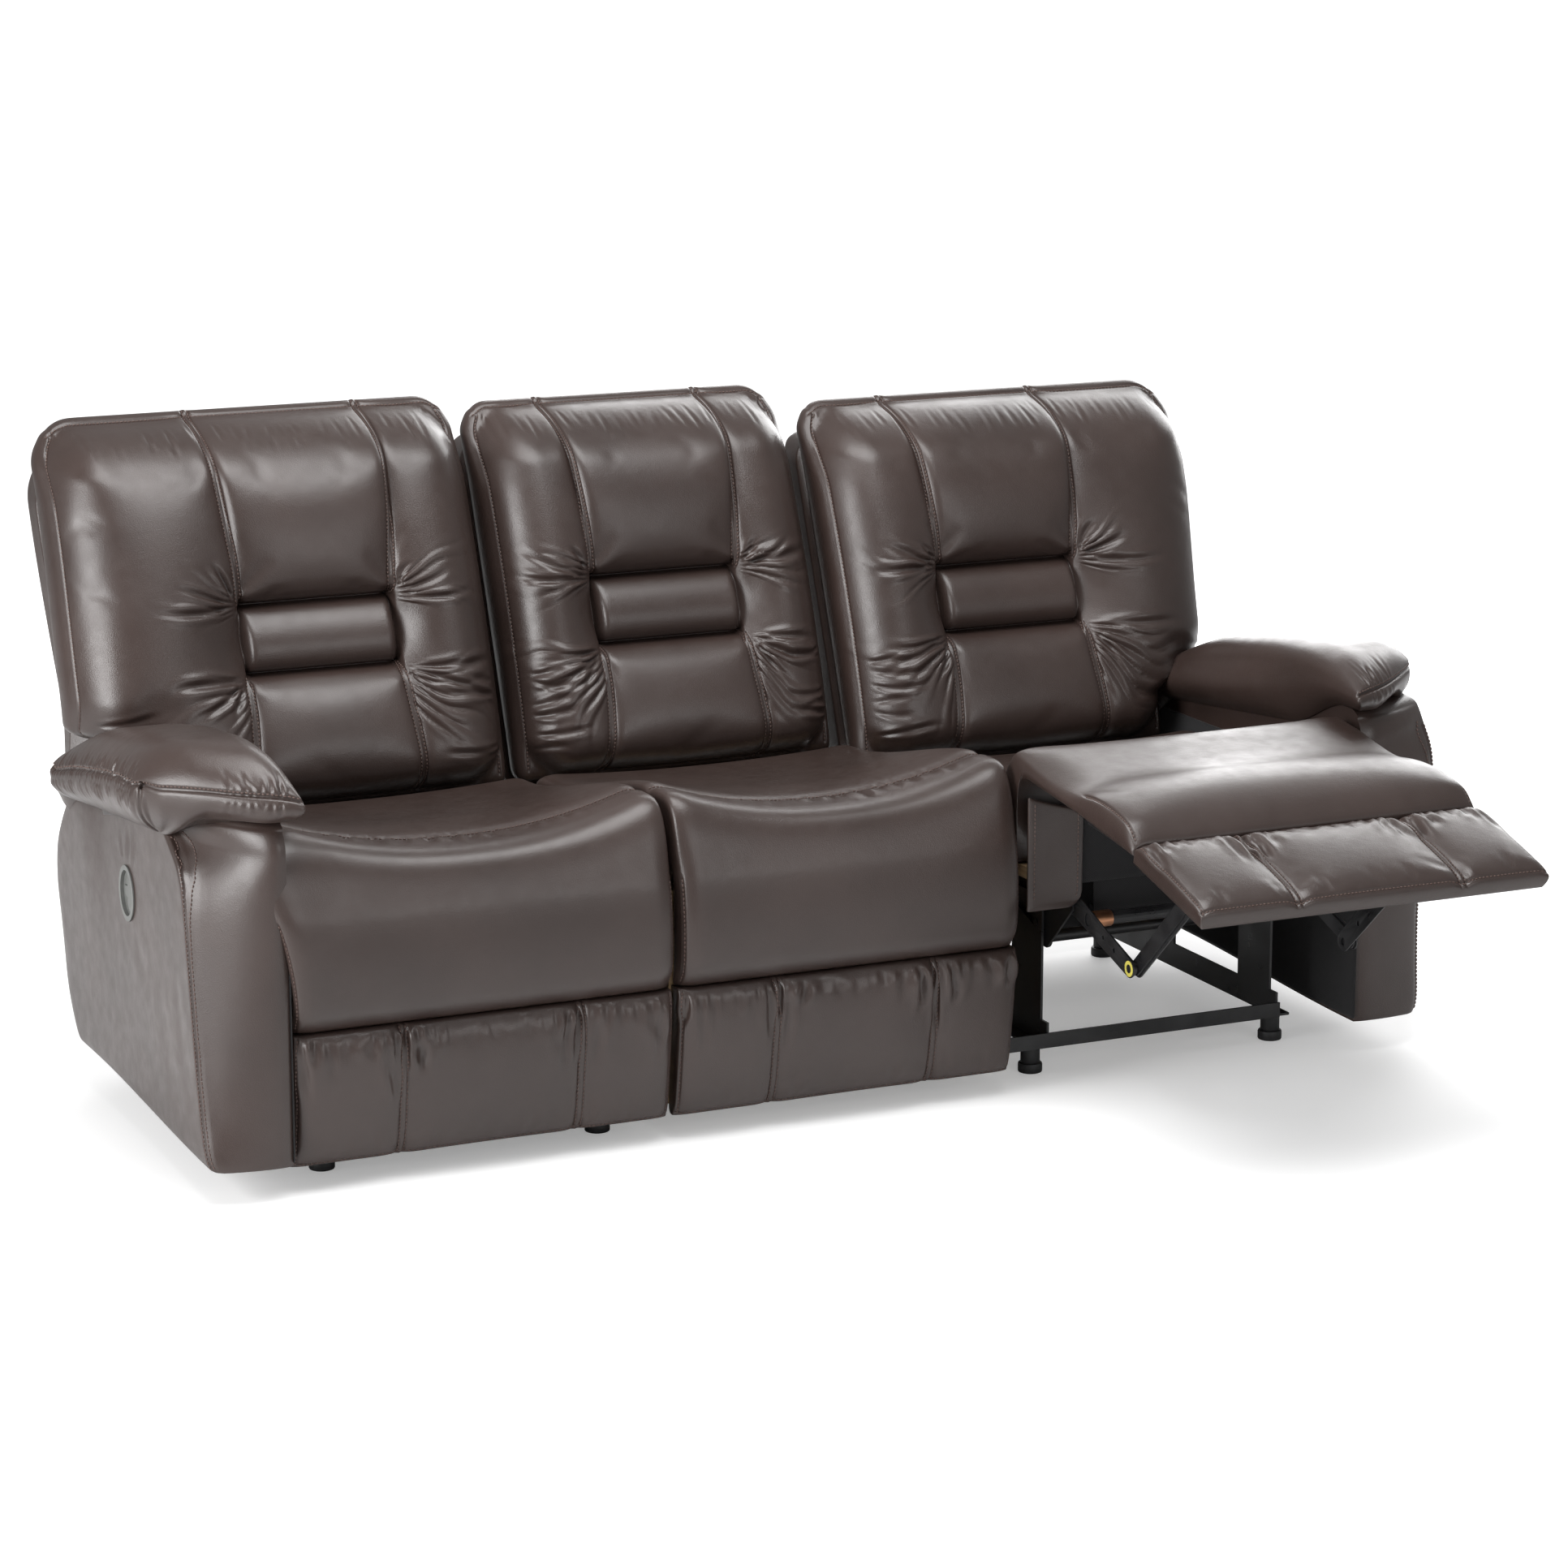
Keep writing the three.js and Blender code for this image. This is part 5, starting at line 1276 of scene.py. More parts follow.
def latch_pocket(piece, side):
    """Cuts the hole that the latch's bezel sits in."""
    start_clean()
    middle = (side * (ARM_OUTER + 0.02 - LATCH_DEPTH / 2), LATCH[0] + ARM_FRONT, LATCH[1])
    bpy.ops.mesh.primitive_cylinder_add(vertices=64, radius=1, depth=LATCH_DEPTH + 0.04, location=(0, 0, 0))
    cutter = bpy.context.object
    shape = places(cutter)
    set_places(cutter, np.stack([shape[:, 2], shape[:, 0] * LATCH_HALVES[0], shape[:, 1] * LATCH_HALVES[1]], axis=1))
    cutter.location = middle
    bpy.ops.object.transform_apply(location=True, rotation=False, scale=False)
    bpy.ops.object.mode_set(mode="EDIT")
    bpy.ops.mesh.select_all(action="SELECT")
    bpy.ops.mesh.normals_make_consistent(inside=False)
    bpy.ops.object.mode_set(mode="OBJECT")
    pick(piece)
    cut = piece.modifiers.new("pocket", "BOOLEAN")
    cut.operation = "DIFFERENCE"
    cut.solver = "EXACT"
    cut.object = cutter
    bpy.ops.object.modifier_apply(modifier=cut.name)
    bpy.data.objects.remove(cutter)


ARM_STROKES = (
    (0.150, 0.330, 0.050, 0.070, 0.020, 0.0008, 0.010),
    (0.235, 0.300, 0.120, 0.060, 0.024, 0.0008, 0.012),
    (0.372, 0.435, 0.356, 0.490, 0.008, 0.0020, 0.004),
    (0.392, 0.432, 0.400, 0.478, 0.006, 0.0014, -0.003),
    (0.344, 0.430, 0.312, 0.482, 0.008, 0.0012, -0.004),
    (0.340, 0.330, 0.275, 0.255, 0.016, 0.0008, 0.008),
)


def arm_cover(word):
    side = SIDE[word]
    piece = blank(f"{word}_arm_cover", ARM_COLUMNS, ARM_ROWS, ARM_LAYERS)
    mould(piece, arm_form(word))
    finished(piece)
    flat = places(piece)[:, 1:] - np.array([ARM_FRONT, 0])
    creased(piece, ARM_STROKES, flat, (side, 0, 0))
    edge = [(float(front_set(word, z)) + SEAM_BEHIND_EDGE, z) for z in SEAM_HEIGHTS_ARM]
    path = [(side * ARM_OUTER, y + ARM_FRONT, z) for y, z in edge]
    seam, outward = on_surface(piece, path, (-side, 0, 0), 0.003)
    grooved(piece, seam, 0.0040, 0.0030)
    twin = [np.array(spot) + np.array([0, -0.004, 0.009]) * ease((spot[2] - 0.36) / 0.1) for spot in path]
    rows = []
    for line, offset in ((seam, 0.0045), (on_surface(piece, twin, (-side, 0, 0))[0], 0.0)):
        shifted = line + np.array([0, offset, 0])
        rows.append(stitch_row(*on_surface(piece, shifted, (-side, 0, 0))))
    stitched(f"{word}_arm_stitching", rows, "frame")
    latch_pocket(piece, side)
    pick(piece)
    bpy.ops.object.shade_smooth_by_angle(angle=math.radians(50))
    dress(piece, LEATHER)
    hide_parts(f"{word}_arm_shell")
    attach(piece, "frame")


def arm_lining(word):
    """Black cloth over the lower part of the arm's inner side."""
    side = SIDE[word]

    def form(u, v, w):
        y, z, low = arm_plan(u * 0.988, mix(-0.965, 0.62, (v + 1) / 2))
        z = np.minimum(z, LINING_TOP)
        return to_frame(stack(side * mix(ARM_INNER - 0.0014, ARM_INNER + 0.0006, w), y, z))

    piece = blank(f"{word}_arm_lining", 30, 20, 1)
    mould(piece, form)
    finished(piece)
    dress(piece, LINING)
    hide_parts(f"{word}_arm_panel")
    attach(piece, "frame")


# Arm pillows

PAD_INNER = ARM_INNER - 0.020
PAD_OUTER = ARM_OUTER + 0.051
PAD_REAR = 0.645
PAD_TIP = -0.014
PAD_CORNER = 0.136
PAD_TURN = 0.026
PAD_COLUMNS = 34
PAD_ROWS = 72
PAD_LAYERS = 8
PAD_DROOP = 0.030
PAD_INNER_DROOP = 0.040
PAD_FOOT = (0.008, 0.196)
SEAM_DEPTHS = (-0.02, 0.134, 0.300, 0.450, 0.595, 0.672)
SEAM_HEIGHTS = (0.590, 0.596, 0.575, 0.549, 0.521, 0.500)
CROWN_DEPTHS = (-0.02, 0.06, 0.154, 0.300, 0.470, 0.560, 0.620, 0.672)
CROWN_HEIGHTS = (0.640, 0.655, 0.661, 0.646, 0.616, 0.583, 0.556, 0.535)
CROWN_DROP = {"left": 0.0, "right": 0.018}


def smoothly(y, depths, heights):
    shifts = (-0.03, -0.015, 0, 0.015, 0.03)
    return sum(np.interp(y + shift, depths, heights) for shift in shifts) / len(shifts)


def pillow_form(word):
    side = SIDE[word]
    width = PAD_OUTER - PAD_INNER

    def form(u, v, w):
        across = stations((u + 1) / 2, [0.0, 1.0], (PAD_COLUMNS,), 0.55)
        along = stations((v + 1) / 2, [0.0, 1.0], (PAD_ROWS,), 0.55)
        front = PAD_TIP + (PAD_CORNER - PAD_TIP) * across**1.5
        out = (1 - across) * width
        behind = along * (PAD_REAR - front)
        a = np.clip(1 - out / PAD_TURN, 0, 1)
        b = np.clip(1 - behind / PAD_TURN, 0, 1)
        out = np.where((a > 0) & (b > 0), PAD_TURN * (1 - a * np.sqrt(1 - b * b / 2)), out)
        behind = np.where((a > 0) & (b > 0), PAD_TURN * (1 - b * np.sqrt(1 - a * a / 2)), behind)
        rear_round = np.clip(1 - (PAD_REAR - front - behind) / 0.08, 0, 1)
        out = out + 0.035 * rear_round**2 * across
        x = PAD_OUTER - out
        y = front + behind
        seam_z = smoothly(y, SEAM_DEPTHS, SEAM_HEIGHTS)
        crown_z = smoothly(y, CROWN_DEPTHS, CROWN_HEIGHTS) - CROWN_DROP[word]
        swell = round_off(out + 0.002, 0.080) * round_off(x - PAD_INNER + 0.002, 0.055)
        swell = swell * round_off(behind + 0.002, 0.105) * round_off(PAD_REAR - y + 0.002, 0.06)
        z = seam_z + (crown_z - seam_z) * swell
        band = w / PAD_LAYERS
        seat_x = np.clip(x, ARM_INNER - 0.002, ARM_OUTER + 0.0006)
        foot_y = mix(PAD_FOOT[0], PAD_FOOT[1], np.clip((x - ARM_INNER - 0.02) / 0.12, 0, 1) ** 1.5)
        seat_y = np.clip(y + (foot_y - front) * np.clip(1 - behind / 0.40, 0, 1), 0.006, PAD_REAR)
        outer = ease((x - (ARM_OUTER - 0.035)) / 0.035)
        inner = ease((ARM_INNER + 0.030 - x) / 0.030) * ease((y - 0.04) / 0.16)
        seat_z = arm_ridge(seat_y) - PAD_DROOP * outer - PAD_INNER_DROOP * inner + 0.0006
        fold = np.clip(band, 0, 1)
        drawn = fold**2.0
        x_low = mix(x, seat_x, drawn)
        y_low = mix(y, seat_y, drawn)
        z_low = mix(z, seat_z, fold**0.85)
        plump = 0.010 * np.sin(np.pi * fold) ** 0.8
        at_outer = (u > 0.999) * 1.0
        at_inner = (u < -0.999) * 1.0
        at_front = (v < -0.999) * 1.0
        x_low = x_low + plump * (at_outer - (0.6 + 1.5 * ease((y - 0.12) / 0.25)) * at_inner)
        y_low = y_low - plump * at_front
        return to_frame(stack(side * x_low, y_low, z_low))

    return form


def pillow_strokes(chance):
    """Gathers above and below the seam on the pillow's outer side, by depth and height."""
    strokes = []
    for y in np.linspace(0.16, 0.63, 34):
        y = y + chance.uniform(-0.006, 0.006)
        seam = float(smoothly(y, SEAM_DEPTHS, SEAM_HEIGHTS))
        rise = chance.uniform(0.022, 0.050)
        lean = chance.uniform(-0.004, 0.014)
        depth = chance.uniform(0.0010, 0.0024)
        strokes.append((y, seam + 0.002, y + lean, seam + rise, 0.0045, depth, 0.001))
        if chance.uniform() < 0.7:
            strokes.append((y, seam - 0.002, y + lean / 2, seam - rise * 0.8, 0.0045, depth * 0.9, 0.001))
    return strokes


def tip_strokes(chance):
    """Pulls over the pillow's front, from the seam up and back, by width and height."""
    strokes = []
    for x in np.linspace(ARM_INNER + 0.006, ARM_INNER + 0.070, 9):
        x = x + chance.uniform(-0.004, 0.004)
        foot = 0.598
        lean = chance.uniform(-0.016, 0.010)
        strokes.append((x, foot, x + lean, foot + chance.uniform(0.02, 0.045), 0.0035, chance.uniform(0.0006, 0.0014), 0.002))
        strokes.append((x, foot - 0.004, x - lean / 2, foot - 0.028, 0.0035, chance.uniform(0.0004, 0.0010), 0.002))
    return strokes


def corner_line(piece):
    """Places and normals down the pillow's band at its front outer corner."""
    pattern = pattern_of(piece)
    corner = np.nonzero((pattern[:, 0] > 0.999) & (pattern[:, 1] < -0.999))[0]
    corner = corner[np.argsort(-pattern[corner, 2])]
    return places(piece)[corner], normals_of(piece)[corner]


def corner_seam(piece):
    """Presses the seam that runs down the band from the pillow's front outer corner."""
    grooved(piece, corner_line(piece)[0], 0.0032, 0.0036)


def arm_pillow(word):
    side = SIDE[word]
    piece = blank(f"{word}_arm_pillow", PAD_COLUMNS, PAD_ROWS, PAD_LAYERS)
    mould(piece, pillow_form(word))
    pattern = pattern_of(piece)
    face = pattern[:, 2] > -0.5
    edge = face & ((np.abs(pattern[:, 0]) > 0.999) | (np.abs(pattern[:, 1]) > 0.999))
    held = np.where(edge, 0.85, 0.0)
    held = np.maximum(held, np.clip((-pattern[:, 2] - PAD_LAYERS + 3) / 2, 0, 1))
    tip = (pattern[:, 1] < -0.85) & (pattern[:, 0] < -0.6)
    held = np.maximum(held, np.where(tip & edge, 1.0, 0))
    slack = 0.035
    puffed(piece, held, 3.0, slack, cap=0.014)
    finished(piece, levels=2)
    for line in (("column", 1, -1, 0.97, 0), ("row", -1, -1, 1, 0)):
        grooved(piece, seam_line(piece, *line)[0], 0.0032, 0.0050)
    corner_seam(piece)
    spots = places(piece)
    chance = np.random.default_rng(WRINKLE_SEEDS[word] + 3)
    creased(piece, pillow_strokes(chance), spots[:, 1:] - np.array([ARM_FRONT, 0]), (side, 0, 0))
    across = np.stack([side * spots[:, 0], spots[:, 2]], axis=1)
    creased(piece, tip_strokes(chance), across, (0, -1, 0))
    dress(piece, LEATHER)
    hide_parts(f"{word}_arm_pad")
    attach(piece, "frame")
    rows = [
        stitch_row(*seam_line(piece, "column", 1, -0.97, 0.97, -0.005)),
        stitch_row(*seam_line(piece, "row", -1, -0.97, 0.97, 0.005)),
    ]
    points, normals = corner_line(piece)
    rows.append(stitch_row(points[2:-3] + np.array([0, 0.004, 0]), normals[2:-3]))
    stitched(f"{word}_pillow_stitching", rows, "frame")


# Outer covers of the backs

SHELL_THICK = 0.066
SHELL_BOTTOM = 0.310
SHELL_DROP = 0.060
SHELL_WING = 0.994
SHELL_WING_LOW = 0.976
SHELL_ROUND = 0.080
BEHIND_ARM = 0.800
SHELL_REAR = 0.842


def shell_form(word):
    centre, inner, outer, low_outer, top = back_extent(word)
    end = word != "centre"
    top = BACK_TOP[word] - SHELL_DROP
    side = SIDE[word]

    def form(u, v, w):
        z = mix(SHELL_BOTTOM, top, (v + 1) / 2)
        wing = mix(SHELL_WING_LOW, SHELL_WING, ease((z - 0.50) / 0.40)) + wing_line(word, z) - WING_OUTER
        outer_here = np.where(end, wing, outer)
        x = mix(inner + 0 * z, outer_here, (u + 1) / 2)
        x, z = rounded_corners(x, z, inner, outer_here, top, 0.05, SHELL_ROUND if end else 0.05)
        band = w / 4
        lean = math.cos(math.atan(BACK_LEAN))
        front = back_plane(z) + 0.001
        rear = back_plane(z) + SHELL_THICK / lean - 0.002
        beside = end * ease((x - ARM_INNER + 0.030) / 0.024)
        front = mix(front, np.maximum(front, mix(BEHIND_ARM, 0.78, ease((z - 0.50) / 0.08))), beside * (z < 0.60))
        rear = np.maximum(rear, mix(0.62, SHELL_REAR, ease((z - SHELL_BOTTOM) / 0.14)))
        near = np.minimum(np.minimum(x - inner, outer_here - x), np.minimum(z - SHELL_BOTTOM, top - z))
        rear = rear - np.where(w < 0.5, 0.014 * (1 - round_off(np.maximum(near, 0), 0.04)), 0)
        y = mix(rear, np.minimum(front, rear - 0.002), band)
        return to_frame(travelled(stack(side * x, y, z), word))

    return form


def back_cover(word):
    piece = blank(f"{word}_back_cover", 40, 44, 4)
    mould(piece, shell_form(word))
    finished(piece)
    dress(piece, LEATHER)
    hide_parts(f"{word}_back_shell")
    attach(piece, "frame" if word == "centre" else f"{word}_back")
    rows = []
    for at, offset in ((-1, 0.012), (1, -0.012)):
        rows.append(stitch_row(*seam_line(piece, "column", at, -0.9, 0.9, offset)))
    stitched(f"{word}_cover_stitching", rows, "frame" if word == "centre" else f"{word}_back")


# Seat aprons, under the front of each end seat

APRON_Y = (0.0657, 0.0712)
APRON_HEIGHTS = (0.316, 0.505)
APRON_SPANS = ((0.300, 0.396), (0.788, 0.884))
APRON_ROUND = 0.030
CURTAIN = (0.374, 0.808, 0.352)
SKIRT = (0.420, 0.762, 0.284, 0.358)
BELOW_CREST = 0.036


def sheet_panel(name, x_span, z_span, y_span, waves, round_low=0.0, round_side=0):
    """A soft panel that faces the front, between two widths and two heights."""
    piece = blank(name, 20, 24, 2)

    def form(u, v, w):
        x = mix(x_span[0], x_span[1], (u + 1) / 2)
        share = np.abs(x - BAY_CENTRE) / (END_WIDTH / 2)
        crest = mix(CREST_MIDDLE, CREST_SIDE, share**2.2) - BELOW_CREST
        z = mix(z_span[0], np.minimum(z_span[1], crest), (v + 1) / 2)
        a = np.clip(1 - round_side * (x - x_span[0 if round_side > 0 else 1]) / max(round_low, 1e-6), 0, 1)
        b = np.clip(1 - (z - z_span[0]) / max(round_low, 1e-6), 0, 1)
        corner = (a > 0) & (b > 0) & (round_low > 0)
        keep = round_side if round_side else 1
        edge = x_span[0 if round_side > 0 else 1]
        x = np.where(corner, edge + keep * round_low * (1 - a * np.sqrt(1 - b * b / 2)), x)
        z = np.where(corner, z_span[0] + round_low * (1 - b * np.sqrt(1 - a * a / 2)), z)
        near = np.minimum(np.minimum(x - x_span[0], x_span[1] - x), z - z_span[0])
        soft = 0.0022 * (1 - round_off(np.maximum(near, 0), 0.010))
        ripple = waves * np.sin(x * 61 + 1.3 * np.sin(z * 23)) * np.sin(z * 17 + 0.6)
        y = mix(y_span[0] + soft + ripple, y_span[1], w / 2)
        return stack(x, y, z)

    return piece, form


def seat_aprons(word):
    """Leather ends and a black cloth between them, which close the front below each end seat."""
    side = SIDE[word]
    for place, (low, high) in zip(("inner", "outer"), APRON_SPANS):
        round_side = -1 if place == "inner" else 1
        piece, form = sheet_panel(
            f"{word}_{place}_apron", (low, high), APRON_HEIGHTS, APRON_Y, 0.0006, APRON_ROUND, round_side
        )
        mould(piece, lambda u, v, w: to_frame(travelled(form(u, v, w) * np.array([side, 1, 1]), word)))
        finished(piece)
        dress(piece, LEATHER)
        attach(piece, f"{word}_seat")
        rows = [
            stitch_row(*seam_line(piece, "column", at, -0.80, 0.95, offset))
            for at, offset in ((-1, 0.010), (1, -0.010))
        ]
        stitched(f"{word}_{place}_apron_stitching", rows, f"{word}_seat")
    low, high, bottom = CURTAIN
    for name, x_span, z_span, set_back in (
        ("curtain", (low, high), (bottom, APRON_HEIGHTS[1]), 0.004), ("skirt", SKIRT[:2], SKIRT[2:], 0.008),
    ):
        y_span = (APRON_Y[0] + set_back, APRON_Y[0] + set_back + 0.003)
        piece, form = sheet_panel(f"{word}_front_{name}", x_span, z_span, y_span, 0.0012)
        mould(piece, lambda u, v, w: to_frame(travelled(form(u, v, w) * np.array([side, 1, 1]), word)))
        finished(piece)
        dress(piece, LINING)
        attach(piece, f"{word}_seat")


# Linkage details, as distances out from the middle of each bay

LIFT_COVER = (0.1964, 0.1990)
UPPER_COVER = (0.1807, 0.1833)
BOARD_BRACKET = (0.1725, 0.1752)
LINK_HALF = 0.012
TUBE_SHARE = 0.4
TUBE_RADIUS = 0.011
SLEEVE_LENGTH = 0.030
CROSS_TUBES = ((0.318, 0.300), (0.470, 0.332))
FRONT_TUBE = (0.262, 0.215)
CROSS_TUBE_RADIUS = 0.010
SPRING_RADIUS = 0.0075
SPRING_WIRE = 0.0014
SPRING_TURNS = 26


def pivots(word):
    """Lift pivot, elbow and footrest pivot of a linkage at rest, as depth and height."""
    joints = {row["name"]: row for row in frame["joints"]}
    lift = np.array(joints[f"{word}_lift_swing"]["pos_m"][1:])
    foot = np.array(joints[f"{word}_link_swing"]["pos_m"][1:])
    low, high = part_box(f"{word}_lift_frame")
    elbow_y = low.y + LINK_HALF if OPEN[word] else high.y - LINK_HALF
    return lift, np.array([elbow_y, low.z + LINK_HALF]), foot


def lever_outline(start, end, start_radius, end_radius, steps=12):
    """The outline of a lever: a round about each end, joined by straight sides."""
    heading = math.atan2(end[1] - start[1], end[0] - start[0])
    points = []
    for spot, radius, turn in ((end, end_radius, -0.5), (start, start_radius, 0.5)):
        for step in range(steps + 1):
            angle = heading + math.pi * (turn + step / steps)
            points.append((spot[0] + radius * math.cos(angle), spot[1] + radius * math.sin(angle)))
    return points


def round_outline(spot, radius, steps=16):
    turns = (2 * math.pi * step / steps for step in range(steps))
    return [(spot[0] + radius * math.cos(turn), spot[1] + radius * math.sin(turn)) for turn in turns]


def flat_plate(name, outlines, x_low, x_high):
    """A steel plate cut to its outlines, the first outer and the rest holes, between two widths."""
    start_clean()
    curve = bpy.data.curves.new(name, "CURVE")
    curve.dimensions = "2D"
    curve.fill_mode = "BOTH"
    curve.extrude = abs(x_high - x_low) / 2 - 0.0005
    curve.bevel_depth = 0.0005
    curve.bevel_resolution = 1
    for outline in outlines:
        spline = curve.splines.new("POLY")
        spline.points.add(len(outline) - 1)
        for point, (a, b) in zip(spline.points, outline):
            point.co = (a, b, 0, 1)
        spline.use_cyclic_u = True
    drawn = bpy.data.objects.new(name, curve)
    bpy.context.collection.objects.link(drawn)
    pick(drawn)
    bpy.ops.object.convert(target="MESH")
    piece = bpy.context.object
    shape = places(piece)
    middle = (x_low + x_high) / 2
    set_places(piece, np.stack([shape[:, 2] + middle, shape[:, 0], shape[:, 1]], axis=1))
    bpy.ops.object.mode_set(mode="EDIT")
    bpy.ops.mesh.select_all(action="SELECT")
    bpy.ops.mesh.remove_doubles(threshold=0.00001)
    bpy.ops.mesh.normals_make_consistent(inside=False)
    bpy.ops.object.mode_set(mode="OBJECT")
    bpy.ops.object.shade_smooth_by_angle(angle=math.radians(35))
    return piece


def turned_bar(name, x_low, x_high, spot, radius, rim=0.0008, sides=24):
    """A round bar, washer or rivet head across the linkage, with its rims bevelled."""
    start_clean()
    bpy.ops.mesh.primitive_cylinder_add(vertices=sides, radius=radius, depth=abs(x_high - x_low), location=(0, 0, 0))
    piece = bpy.context.object
    piece.name = name
    bpy.ops.object.mode_set(mode="EDIT")
    bpy.ops.mesh.select_mode(type="EDGE")
    bpy.ops.mesh.select_all(action="DESELECT")
    bpy.ops.object.mode_set(mode="OBJECT")
    heights = places(piece)[:, 2]
    for edge in piece.data.edges:
        a, b = edge.vertices
        edge.select = abs(heights[a] - heights[b]) < 1e-6
    bpy.ops.object.mode_set(mode="EDIT")
    bpy.ops.mesh.bevel(offset=rim, segments=2)
    bpy.ops.object.mode_set(mode="OBJECT")
    shape = places(piece)
    middle = (x_low + x_high) / 2
    set_places(piece, np.stack([shape[:, 2] + middle, shape[:, 0] + spot[0], shape[:, 1] + spot[1]], axis=1))
    bpy.ops.object.shade_smooth_by_angle(angle=math.radians(40))
    return piece


def gathered(name, pieces, material, body):
    """Joins small pieces of one material into one, which rides on a body."""
    start_clean()
    for piece in pieces:
        piece.select_set(True)
    bpy.context.view_layer.objects.active = pieces[0]
    bpy.ops.object.join()
    piece = bpy.context.object
    piece.name = name
    dress(piece, material)
    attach(piece, body)
    return piece


def lever(word, reach, offsets, start, end, radii, holes):
    """A lever beside a CAD link, with round holes at shares of its length."""
    middle = SIDE[word] * BAY_CENTRE
    ends = [middle + SIDE[word] * reach * offset for offset in offsets]
    outlines = [lever_outline(start, end, *radii)]
    outlines += [round_outline(mix(start, end, share), radius) for share, radius in holes]
    return flat_plate("lever", outlines, min(ends), max(ends))


def across_bay(word, reach, offsets):
    ends = [SIDE[word] * (BAY_CENTRE + reach * offset) for offset in offsets]
    return min(ends), max(ends)


def coil_spring(x, start, end):
    """A drawn coil spring between two places, with straight ends."""
    start_clean()
    curve = bpy.data.curves.new("spring", "CURVE")
    curve.dimensions = "3D"
    curve.bevel_depth = SPRING_WIRE
    curve.bevel_resolution = 1
    spline = curve.splines.new("POLY")
    steps = SPRING_TURNS * 12
    spline.points.add(steps + 2)
    way = end - start
    unit = way / np.linalg.norm(way)
    across = np.array([-unit[1], unit[0]])
    path = [(x, *start)]
    for step in range(steps + 1):
        turn = 2 * math.pi * step / 12
        along = mix(start, end, 0.08 + 0.84 * step / steps)
        y, z = along + across * SPRING_RADIUS * math.sin(turn)
        path.append((x + SPRING_RADIUS * math.cos(turn), y, z))
    path.append((x, *end))
    for point, (a, b, c) in zip(spline.points, path):
        point.co = (a, b, c, 1)
    drawn = bpy.data.objects.new("spring", curve)
    bpy.context.collection.objects.link(drawn)
    pick(drawn)
    bpy.ops.object.convert(target="MESH")
    bpy.ops.object.shade_smooth()
    return bpy.context.object


